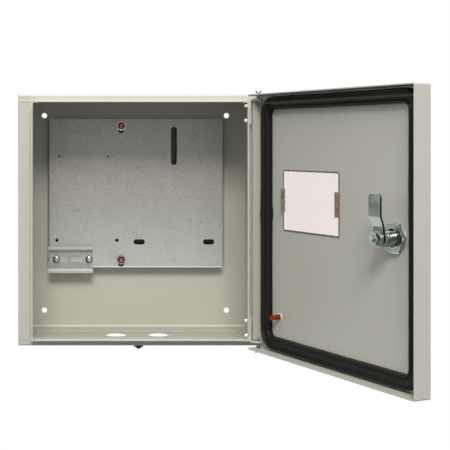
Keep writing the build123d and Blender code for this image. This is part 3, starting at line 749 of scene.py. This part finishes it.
@dataclass(frozen=True)
class Piece:
    """A new piece: its name, its finish, what it rides on and the solid that it stands for."""

    name: str
    finish: Finish
    body: Body
    slot: Slot
    stands_for: str

    def capped(self, grids: list[np.ndarray]) -> None:
        """Make the piece from tubes whose ends are closed by fans.

        Args:
            grids: For each tube, rows by columns by three, in millimetres. The columns run round
                a closed loop.
        """
        points, faces, count = [], [], 0
        fan_faces = []
        for grid in grids:
            rows, columns = grid.shape[:2]
            tube = np.concatenate([grid.reshape(-1, 3), [grid[0].mean(0)], [grid[-1].mean(0)]])
            quads, caps = strips(rows, columns, closed=False), fans(rows, columns)
            if inside_out(tube, quads, caps):
                quads, caps = quads[:, ::-1], caps[:, ::-1]
            points.append(tube)
            faces += (quads + count).tolist()
            fan_faces += (caps + count).tolist()
            count += len(tube)
        self.put(np.concatenate(points), faces + fan_faces, sharp_degrees=40)

    def ring(self, grid: np.ndarray, groove: np.ndarray | None = None) -> None:
        """Make the piece from a grid that closes on itself both ways.

        Args:
            grid: Rows round the path by columns round the section by three, in millimetres.
            groove: Depth in its grooves for each point, from 0 to 1, for finishes that paint shade by it.
        """
        points, quads = grid.reshape(-1, 3), strips(*grid.shape[:2], closed=True)
        if inside_out(points, quads, np.empty((0, 3), int)):
            quads = quads[:, ::-1]
        mesh = self.put(points, quads.tolist(), sharp_degrees=50)
        if groove is not None:
            mesh.attributes.new("groove", "FLOAT", "POINT").data.foreach_set("value", groove.ravel())

    def put(self, points: np.ndarray, faces: list[list[int]], sharp_degrees: float) -> bpy.types.Mesh:
        """Write the mesh and tie its object to the frame.

        Args:
            points: One point a row, in millimetres.
            faces: Point numbers of each face.
            sharp_degrees: Angle between faces above which an edge stays sharp.

        Returns:
            The mesh.
        """
        mesh = bpy.data.meshes.new(self.name)
        mesh.from_pydata((points * MM).tolist(), [], faces)
        mesh.polygons.foreach_set("use_smooth", np.ones(len(mesh.polygons), bool))
        mesh.set_sharp_from_angle(angle=math.radians(sharp_degrees))
        mesh.materials.append(self.finish.material())
        piece = bpy.data.objects.new(self.name, mesh)
        bpy.context.scene.collection.objects.link(piece)
        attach(piece, self.body.value)
        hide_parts(self.stands_for)
        logger.info("made %s: %d faces", self.name, len(mesh.polygons))
        return mesh


def round_y(radius: np.ndarray, along: np.ndarray) -> np.ndarray:
    """Points (r cos a, d, r sin a) for radii r, with the distance d by row and the angle a by column."""
    angle = np.arange(radius.shape[1]) * 2 * np.pi / radius.shape[1]
    across, up = radius * np.cos(angle), radius * np.sin(angle)
    return np.stack([across, np.broadcast_to(along, radius.shape), up], -1)


def turned(profile: np.ndarray, steps: int) -> np.ndarray:
    """Turn a profile, pairs of radius and distance, about the Y axis in so many steps."""
    return round_y(np.repeat(profile[:, :1], steps, 1), profile[:, 1:])


@dataclass(frozen=True)
class Thread:
    """A metric thread as a surface of radius over angle and length."""

    radius: float
    pitch: float
    length: float
    depth_share: float = 0.61
    tip_bevel: float = 0.8
    steps: int = 24
    rows_a_turn: int = 8
    flat: float = 0.0

    def grid(self) -> np.ndarray:
        """Surface along Y from 0 to the length.

        The radius is R - d (1 - |2 f - 1|), where f is the fraction of (y / pitch - a / 2 pi) and
        d is the depth, a share of the pitch. It is held under a cone at the tip, and a flatted
        thread is cut where r |sin a| passes half its width.

        Returns:
            Grid of rows by steps by three.
        """
        rows = int(self.length / self.pitch * self.rows_a_turn) + 1
        along = np.linspace(0, self.length, rows)[:, None]
        angle = (np.arange(self.steps) * 2 * np.pi / self.steps)[None, :]
        part = np.mod(along / self.pitch - angle / (2 * np.pi), 1)
        radius = self.radius - self.depth_share * self.pitch * (1 - np.abs(2 * part - 1))
        cone = self.radius - self.tip_bevel + (self.length - along)
        radius = np.minimum(radius, np.broadcast_to(cone, radius.shape))
        if self.flat:
            radius = np.minimum(radius, self.flat / 2 / np.maximum(np.abs(np.sin(angle)), 1e-6))
        return round_y(radius, along)


@dataclass(frozen=True)
class ShutDoor:
    """Sheet of the shut door and the height of its middle, the hinge axis, and how far the door opens."""

    inner_y: float = -159.8
    face_y: float = -161.0
    middle_z: float = -1.1
    axis_x: float = 144.3
    axis_y: float = -151.3
    open_angle: float = 114.28

    def open(self, points: np.ndarray) -> np.ndarray:
        """Turn points of the shut door to where it stands open.

        Args:
            points: Array whose last axis is X, Y and Z in millimetres.

        Returns:
            The points turned about the hinge axis.
        """
        angle = math.radians(self.open_angle)
        x, y = points[..., 0] - self.axis_x, points[..., 1] - self.axis_y
        across = self.axis_x + x * math.cos(angle) - y * math.sin(angle)
        deep = self.axis_y + x * math.sin(angle) + y * math.cos(angle)
        return np.stack([across, deep, points[..., 2]], -1)


def rounded_loop(
    half_width: float, half_height: float, radius: float, side_steps: int, corner_steps: int
) -> tuple[np.ndarray, np.ndarray, np.ndarray]:
    """Points round a rounded rectangle, with the outward direction at each.

    A corner's points are centre + radius (cos a, sin a), and a side's points divide the line
    between two corners evenly.

    Args:
        half_width: Half the width to the line.
        half_height: Half the height to the line.
        radius: Radius of the corners.
        side_steps: Points along each side.
        corner_steps: Points round each corner.

    Returns:
        Points, outward directions and the share of the way round, one row each.
    """
    inset = np.array([half_width - radius, half_height - radius])
    corners, outward = [], []
    for turn, signs in enumerate(((1, 1), (-1, 1), (-1, -1), (1, -1))):
        angle = np.linspace(turn, turn + 1, corner_steps) * np.pi / 2
        ray = np.stack([np.cos(angle), np.sin(angle)], -1)
        corners.append(inset * signs + radius * ray)
        outward.append(ray)
    points, rays = [], []
    share = np.linspace(0, 1, side_steps + 2)[1:-1, None]
    for turn in range(4):
        following = (turn + 1) % 4
        points += [corners[turn], corners[turn][-1] * (1 - share) + corners[following][0] * share]
        rays += [outward[turn], np.repeat(outward[turn][-1:], side_steps, 0)]
    line = np.concatenate(points)
    step = np.linalg.norm(np.roll(line, -1, 0) - line, axis=1)
    return line, np.concatenate(rays), (np.cumsum(step) - step) / step.sum()


def ripple(phase: np.ndarray, waves: tuple[tuple[float, float, float], ...]) -> np.ndarray:
    """Sum of h sin(n phase + s) over waves, each of height h, count n and start s."""
    height, count, start = np.array(waves).T
    return (height * np.sin(count * phase[:, None] + start)).sum(1)


@dataclass(frozen=True)
class FoamGasket:
    """Poured seal: two round ridges with a valley between them, all round the door.

    The valley is wide enough to clear the collar's tip when the door is shut.
    """

    shut: ShutDoor
    right: float = 133.8
    left: float = -134.3
    half_height: float = 144.4
    corner: float = 15.0
    width: float = 15.6
    height: float = 7.5
    side_steps: int = 110
    corner_steps: int = 14
    join_z: float = 8.9
    join_spread: float = 7.0
    join_swell: float = 0.2
    drift: tuple[tuple[float, float, float], ...] = ((0.11, 5, 0.7), (0.066, 13, 2.1), (0.044, 41, 0.0))
    swell: tuple[tuple[float, float, float], ...] = ((0.012, 9, 1.3), (0.01, 31, 0.4))
    # Shares of half the width and of the height, from the foot over the ridge to the valley's floor
    ridge: tuple[tuple[float, float], ...] = (
        (1.0, 0.0), (1.0, 0.5), (0.985, 0.76), (0.94, 0.91), (0.87, 0.98), (0.78, 1.0), (0.68, 0.985),
        (0.6, 0.88), (0.53, 0.74), (0.43, 0.68), (0.29, 0.63), (0.13, 0.6), (0.0, 0.585),
    )

    def section(self) -> np.ndarray:
        """Across and up for each point of the section, from one foot over both ridges to the other."""
        half = np.array(self.ridge) * [self.width / 2, self.height]
        return np.concatenate([half, half[-2::-1] * [-1.0, 1.0]])

    def build(self) -> None:
        """Carry the section round the door.

        The point at share s and section (v, h) is line(s) + (v (1 + j(s)) + w(s)) n(s), at height
        h (1 + e(s)), where w and e are sums of a few sines that close on themselves, and
        j = swell exp(-((z - join) / spread)^2) widens the hinge side where the pour began and ended.
        """
        middle = (self.right + self.left) / 2
        half_width = (self.right - self.left) / 2
        line, ray, share = rounded_loop(
            half_width, self.half_height, self.corner, self.side_steps, self.corner_steps
        )
        phase = 2 * np.pi * share
        section = self.section()
        from_join = (line[:, 1] + self.shut.middle_z - self.join_z) / self.join_spread
        join = self.join_swell * np.exp(-(from_join**2)) * (ray[:, 0] > 0.9)
        across = section[:, 0] * (1 + join[:, None]) + ripple(phase, self.drift)[:, None]
        flat = line[:, None, :] + ray[:, None, :] * across[..., None]
        deep = self.shut.inner_y + section[:, 1] * (1 + ripple(phase, self.swell)[:, None])
        grid = np.stack([middle + flat[..., 0], deep, self.shut.middle_z + flat[..., 1]], -1)
        Piece("door_gasket_foam", FOAM, Body.DOOR, Slot.FOAM, "door_gasket").ring(self.shut.open(grid))


@dataclass(frozen=True)
class Window:
    """Pane of the door, its clips, and the bead of sealant round its opening."""

    shut: ShutDoor
    middle_x: float = 48.3
    middle_z: float = 27.1
    width: float = 105.6
    height: float = 69.4
    bead_width: float = 1.7
    bead_height: float = 0.75
    bead_corner: float = 1.6
    side_steps: int = 90
    corner_steps: int = 8
    section_steps: int = 9
    lump_size: float = 1.6
    lump_rise: float = 0.8
    lump_seed: int = 7

    def lumps(self, share: np.ndarray) -> np.ndarray:
        """Seeded smooth noise round the loop, a mean of sines with 20 to 137 waves.

        Args:
            share: Share of the way round at each point.

        Returns:
            The noise at each point.
        """
        random = np.random.default_rng(self.lump_seed)
        waves = np.arange(20, 140, 9)
        size = random.uniform(0.5, 1.0, len(waves)) / len(waves)
        start = random.uniform(0, 6.28, len(waves))
        return self.lump_size * (size * np.sin(2 * np.pi * waves * share[:, None] + start)).sum(1)

    def build(self, solids: Solids) -> None:
        """Dress the pane and its clips and lay the bead.

        The bead's point at share s and angle a is line(s) + (b / 2)(1 + k(s)) cos a along n(s), at
        height h (1 + 0.8 k(s)) sin a, with a from 0 to pi and k the lumps.

        Args:
            solids: Objects of the frame by name.
        """
        dress(solids, PANE, "window_pane")
        dress(solids, CLIP, "window_clips")
        grow = self.bead_width / 2
        half = (self.width / 2 + grow, self.height / 2 + grow)
        line, ray, share = rounded_loop(*half, self.bead_corner, self.side_steps, self.corner_steps)
        lumps = self.lumps(share)[:, None]
        angle = np.linspace(0, np.pi, self.section_steps)
        across = np.cos(angle) * grow * (1 + lumps)
        deep = self.shut.inner_y + np.sin(angle) * self.bead_height * (1 + self.lump_rise * lumps)
        flat = line[:, None, :] + ray[:, None, :] * across[..., None]
        grid = np.stack([self.middle_x + flat[..., 0], deep, self.middle_z + flat[..., 1]], -1)
        piece = Piece("window_sealant_bead", SEALANT, Body.DOOR, Slot.SEALANT, "window_seal")
        piece.ring(self.shut.open(grid))


@dataclass(frozen=True)
class Shell:
    """Folded enclosure, its hinge brackets, their rivets and the split pins."""

    collar_x: float = 133.5
    sheet: float = 1.2
    bracket: float = 2.0
    rivet_y: float = -145.3
    rivet_heights: tuple[float, float] = (141.0, 122.7)
    rivet_steps: int = 28
    shank: float = 1.8
    head: float = 3.5
    head_rise: float = 0.8
    tail: float = 2.7
    tail_reach: float = 5.0
    hole: float = 0.65
    pole: float = 0.02
    # Shares of the head's radius and rise, from near its top to its rim
    head_curve: tuple[tuple[float, float], ...] = ((0.6, 0.92), (0.92, 0.5), (1.0, 0.0))

    def rivet_profile(self) -> np.ndarray:
        """Outline of a blind rivet, from the middle of its domed head to the hole in its round tail.

        Returns:
            Radius and distance along the rivet, one pair a row.
        """
        angle = np.linspace(0.15, np.pi / 2, 9)[::-1]
        outer = self.collar_x + self.bracket
        inner = self.collar_x - self.sheet
        curve = [[self.head * across, outer + self.head_rise * up] for across, up in self.head_curve]
        head = [[self.pole, outer + self.head_rise], *curve, [self.shank, outer]]
        centre = inner - self.tail_reach + self.tail
        ball = np.stack([self.tail * np.sin(angle), centre - self.tail * np.cos(angle)], -1)
        hole = [[self.hole, ball[-1, 1] + 0.3], [self.pole, ball[-1, 1] + 1.2]]
        return np.concatenate([head, [[self.shank, inner], [self.tail * 0.96, inner]], ball, hole])

    def build(self, solids: Solids) -> None:
        """Dress the shell and set two rivets through each bracket.

        Args:
            solids: Objects of the frame by name.
        """
        dress(solids, BACKED_PAINT, "body_wrap")
        dress(solids, PAINT, "body_top", "body_bottom", "hinge_bracket_top", "hinge_bracket_bottom")
        dress(solids, DULL_ZINC, "hinge_pin_top", "hinge_pin_bottom")
        upright = turned(self.rivet_profile(), self.rivet_steps)
        rivet = upright[..., [1, 0, 2]] + [0.0, self.rivet_y, 0.0]
        for side, name in ((1, "hinge_rivets_top"), (-1, "hinge_rivets_bottom")):
            grids = [rivet + [0.0, 0.0, side * height] for height in self.rivet_heights]
            Piece(f"{name}_round", ALUMINIUM, Body.ENCLOSURE, Slot.PAINT, name).capped(grids)


@dataclass(frozen=True)
class PlateAndRail:
    """Galvanised plate on its studs, the short rail on it and the earth bolt under the floor."""

    stud_tip: float = -29.7
    back: float = -1.2
    stud_pitch: float = 1.0
    screw_places: tuple[float, float] = (-106.65, -62.75)
    screw_z: float = -60.9
    screw_seat: float = -20.7
    screw_end: float = 6.7
    shank: float = 2.25
    head_radius: float = 4.85
    head_rim: float = 0.7
    head_crown: float = 2.1
    head_steps: int = 96
    head_rings: int = 30
    pole_share: float = 0.004
    cross_width: float = 1.3
    cross_length: float = 5.4
    cross_depth: float = 1.3
    cross_slope: float = 0.25
    earth_y: float = -105.7
    earth_low: float = -164.4
    earth_high: float = -156.0

    def build(self, solids: Solids) -> None:
        """Dress the plate, the rail and what holds them, and make the screws and the threads.

        Args:
            solids: Objects of the frame by name.
        """
        dress(solids, GALVANISED, "mounting_plate")
        dress(solids, RAIL_ZINC, "din_rail")
        dress(solids, DULL_ZINC, "plate_spacers", "din_rail_nuts")
        dress(solids, WASHER_ZINC, "plate_washers")
        dress(solids, STUD_NUT_ZINC, "plate_nuts")
        dress(solids, OXIDE, "earth_bolt_nuts")
        self.screws()
        self.studs()

    def screws(self) -> None:
        """Make the rail's pan-head screws, each with a cross recess.

        The head's height at radius r is rim + crown sqrt(1 - (r / R)^2), less the recess, whose
        depth falls to nothing over a short slope at the sides of each arm of the cross.
        """
        ratio = np.cos(np.linspace(0, np.pi / 2, self.head_rings))[:, None]
        angle = np.arange(self.head_steps) * 2 * np.pi / self.head_steps
        reach = self.head_radius * np.maximum(ratio, self.pole_share)
        across, up = reach * np.cos(angle), reach * np.sin(angle)
        crown = self.head_rim + self.head_crown * np.sqrt(1 - ratio**2)
        near, far = np.minimum(abs(across), abs(up)), np.maximum(abs(across), abs(up))
        inside = np.minimum(self.cross_width / 2 - near, self.cross_length / 2 - far)
        crown = crown - self.cross_depth * np.clip(inside / self.cross_slope + 0.5, 0, 1)
        head = np.stack([across, -crown, up], -1)
        shank = [[self.shank, self.screw_end], [self.shank, 0.0], [self.head_radius, 0.0]]
        screw = np.concatenate([turned(np.array(shank), self.head_steps), head])
        grids = [screw + [x, self.screw_seat, self.screw_z] for x in self.screw_places]
        Piece("rail_screws_cross", ZINC, Body.ENCLOSURE, Slot.ZINC, "din_rail_screws").capped(grids)

    def studs(self) -> None:
        """Cut the threads of the plate's studs and of the earth bolt under the floor."""
        stud = Thread(STUD_RADIUS, self.stud_pitch, self.back - self.stud_tip).grid() * [1, -1, 1]
        grids = [stud + [STUD_X, self.back, height] for height in STUD_HEIGHTS]
        Piece("plate_studs_threaded", COPPER, Body.ENCLOSURE, Slot.COPPER, "plate_studs").capped(grids)
        hanging = Thread(STUD_RADIUS, self.stud_pitch, self.earth_high - self.earth_low).grid()
        bolt = hanging[..., [0, 2, 1]] * [1, 1, -1] + [0.0, self.earth_y, self.earth_high]
        Piece("earth_bolt_threaded", OXIDE, Body.ENCLOSURE, Slot.DARK_STEEL, "earth_bolt").capped([bolt])


@dataclass(frozen=True)
class Door:
    """Door panel and its earth stud."""

    shut: ShutDoor
    stud_x: float = 110.3
    stud_z: float = -113.3
    stud_length: float = 14.0
    stud_pitch: float = 1.0

    def build(self, solids: Solids) -> None:
        """Dress the panel and the stud's ring, and cut the stud's thread.

        Args:
            solids: Objects of the frame by name.
        """
        dress(solids, PAINT, "door_panel")
        dress(solids, NYLON, "door_stud_ring")
        root = np.array([self.stud_x, self.shut.inner_y, self.stud_z])
        stud = self.shut.open(Thread(STUD_RADIUS, self.stud_pitch, self.stud_length).grid() + root)
        name, solid = "door_earth_stud_threaded", "door_earth_stud"
        Piece(name, DARK_COPPER, Body.DOOR, Slot.COPPER, solid).capped([stud])


@dataclass(frozen=True)
class CamLock:
    """Bezel and threaded barrel, washer, nut, spindle and cam of the lock.

    The barrel's thread is drawn at a pitch of 3.2 mm, about twice the real one, which would not show.
    """

    shut: ShutDoor
    x: float = -99.7
    z: float = -1.6
    barrel_radius: float = 9.75
    barrel_flat: float = 16.5
    barrel_reach: float = 20.0
    barrel_pitch: float = 3.2
    barrel_depth_share: float = 0.3
    barrel_bevel: float = 1.0
    barrel_steps: int = 72
    bore: float = 6.2
    bore_rows: int = 12
    groove_full: float = 0.9
    groove_most: float = 0.85
    bore_shade: float = 0.7
    bezel_radius: float = 14.0
    bezel_rise: float = 4.0
    bezel_round: float = 1.6
    bezel_steps: int = 64
    pocket_radius: float = 7.7
    pocket_depth: float = 2.2

    def bezel_profile(self) -> np.ndarray:
        """Outline of the bezel's closed section, with a round outer shoulder.

        Returns:
            Radius and distance along the lock, one pair a row.
        """
        top = self.shut.face_y - self.bezel_rise
        angle = np.linspace(0, np.pi / 2, 7)
        curve = np.stack([np.cos(angle) - 1, 1 - np.sin(angle)], -1) * self.bezel_round
        shoulder = curve + [self.bezel_radius, top]
        rest = [[self.pocket_radius, top], [self.pocket_radius, top + self.pocket_depth],
                [self.bore, top + self.pocket_depth], [self.bore, self.shut.face_y]]
        return np.concatenate([[[self.bezel_radius, self.shut.face_y]], shoulder, rest])

    def barrel(self) -> tuple[np.ndarray, np.ndarray]:
        """Surface of the barrel, over its thread and back through its bore.

        Returns:
            Grid of points from the door's outer face inwards, and the depth in the thread at each
            point as a share, for the finish to darken as painted shade.
        """
        length = self.barrel_reach + self.shut.inner_y - self.shut.face_y
        outer = Thread(
            self.barrel_radius, self.barrel_pitch, length, self.barrel_depth_share,
            tip_bevel=self.barrel_bevel, steps=self.barrel_steps, flat=self.barrel_flat,
        ).grid()
        down = np.linspace(length, 0, self.bore_rows)[:, None]
        inner = turned(np.concatenate([np.full_like(down, self.bore), down], 1), self.barrel_steps)
        lost = (self.barrel_radius - np.hypot(outer[..., 0], outer[..., 2])) / self.groove_full
        shade = [np.clip(lost, 0, self.groove_most), np.full(inner.shape[:2], self.bore_shade)]
        return np.concatenate([outer, inner]), np.concatenate(shade)

    def build(self, solids: Solids) -> None:
        """Dress the lock's solids and make its bezel and barrel.

        Args:
            solids: Objects of the frame by name.
        """
        dress(solids, PAINTED_REFLECTION_ZINC, "lock_spindle", "cam_washer", "cam_nut")
        dress(solids, NUT_ZINC, "lock_washer", "lock_nut")
        dress(solids, CAM_ZINC, "lock_cam")
        bezel = turned(self.bezel_profile(), self.bezel_steps).swapaxes(0, 1) + [self.x, 0.0, self.z]
        Piece("lock_bezel_turned", ZINC, Body.DOOR, Slot.ZINC, "lock_housing").ring(self.shut.open(bezel))
        points, groove = self.barrel()
        barrel = self.shut.open(points + [self.x, self.shut.face_y, self.z])
        Piece("lock_barrel_threaded", ZINC, Body.DOOR, Slot.ZINC, "lock_housing").ring(barrel, groove)


@dataclass(frozen=True)
class SoftBox:
    """A rectangular studio lamp, in metres and watts."""

    name: str
    place: tuple[float, float, float]
    aim: tuple[float, float, float]
    size: tuple[float, float]
    power: float
    colour: str

    def build(self) -> None:
        """Hang the lamp and turn it to what it lights."""
        data = bpy.data.lights.new(self.name, "AREA")
        data.shape = "RECTANGLE"
        data.size, data.size_y = self.size
        data.energy = self.power
        data.color = linear(self.colour)[:3]
        lamp = bpy.data.objects.new(self.name, data)
        lamp.location = self.place
        back = lamp.location - type(lamp.location)(self.aim)
        lamp.rotation_euler = back.to_track_quat("Z", "Y").to_euler()
        bpy.context.scene.collection.objects.link(lamp)


KEY = SoftBox("key_soft_box", (-0.08, -2.6, 1.76), (0.0, -0.1, 0.0), (1.05, 0.8), 60.0, "#FFFBF3")
OVERHEAD = SoftBox("overhead_soft_box", (0.1, -0.62, 2.2), (0.1, -0.15, -0.15), (1.3, 0.5), 18.0, "#FDFEFF")


@dataclass(frozen=True)
class Studio:
    """Camera, lamps, white surroundings and the pale floor, in metres."""

    lens: float = 88.38
    place: tuple[float, float, float] = (-0.05746, -1.50067, 0.09725)
    shift_x: float = 0.29307
    shift_y: float = -0.18613
    lamps: tuple[SoftBox, ...] = (KEY, OVERHEAD)
    ambient: float = 0.55
    ambient_colour: str = "#F4F6F8"
    floor_z: float = -1.1
    floor_half: float = 4.0
    floor_colour: str = "#545452"

    def camera(self) -> None:
        """Set the camera where the photograph was taken from."""
        data = bpy.data.cameras.new("camera")
        data.lens = self.lens
        data.sensor_width = 36.0
        data.shift_x = self.shift_x
        data.shift_y = self.shift_y
        camera = bpy.data.objects.new("camera", data)
        camera.location = self.place
        camera.rotation_euler = (math.radians(90), 0, 0)
        bpy.context.scene.collection.objects.link(camera)
        bpy.context.scene.camera = camera

    def white_when_seen(
        self,
        owner: bpy.types.World | bpy.types.Material,
        kinds: tuple[str, str, str],
        light: Mapping[str, object],
    ) -> None:
        """Show white to camera, glossy and transmission rays, and a plain shader to all others.

        Args:
            owner: World or material that is filled.
            kinds: Node types of the plain shader, of the white one and of the output.
            light: Settings of the plain shader.
        """
        owner.use_nodes = True
        tree = owner.node_tree
        tree.nodes.clear()
        path = add_node(tree, "ShaderNodeLightPath").outputs
        seen = path["Is Camera Ray"]
        for ray in ("Is Glossy Ray", "Is Transmission Ray"):
            pair = {"operation": "MAXIMUM", 0: seen, 1: path[ray]}
            seen = add_node(tree, "ShaderNodeMath", pair).outputs[0]
        plain = add_node(tree, kinds[0], light).outputs[0]
        white = add_node(tree, kinds[1], {"Color": "#FFFFFF", "Strength": 1.0}).outputs[0]
        both = add_node(tree, "ShaderNodeMixShader", {0: seen, 1: plain, 2: white}).outputs[0]
        add_node(tree, kinds[2], {"Surface": both})

    def world(self) -> None:
        """White surroundings for what is seen, and a plain level of light for the rest."""
        world = bpy.data.worlds.new("white_surroundings")
        bpy.context.scene.world = world
        kinds = ("ShaderNodeBackground", "ShaderNodeBackground", "ShaderNodeOutputWorld")
        self.white_when_seen(world, kinds, {"Color": self.ambient_colour, "Strength": self.ambient})

    def floor(self) -> None:
        """Pale floor far below the wall box, seen as the same white as the surroundings."""
        half, low = self.floor_half, self.floor_z
        mesh = bpy.data.meshes.new("pale_floor")
        corners = [(-half, -half, low), (half, -half, low), (half, half, low), (-half, half, low)]
        mesh.from_pydata(corners, [], [(0, 1, 2, 3)])
        material = bpy.data.materials.new("pale_floor_paint")
        kinds = ("ShaderNodeBsdfDiffuse", "ShaderNodeEmission", "ShaderNodeOutputMaterial")
        self.white_when_seen(material, kinds, {"Color": self.floor_colour})
        mesh.materials.append(material)
        floor = bpy.data.objects.new("pale_floor", mesh)
        bpy.context.scene.collection.objects.link(floor)

    def build(self) -> None:
        """Set up everything round the object."""
        bpy.context.scene.view_settings.view_transform = "Standard"
        self.camera()
        self.world()
        for lamp in self.lamps:
            lamp.build()
        self.floor()


def main() -> None:
    """Dress the frame, build the finer pieces and set up the studio."""
    logging.basicConfig(level=logging.INFO, format="%(message)s")
    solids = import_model()["nodes"]
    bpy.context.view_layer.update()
    shut = ShutDoor()
    Studio().build()
    Shell().build(solids)
    PlateAndRail().build(solids)
    Door(shut).build(solids)
    FoamGasket(shut).build()
    Window(shut).build(solids)
    CamLock(shut).build(solids)


if __name__ == "__main__":
    main()
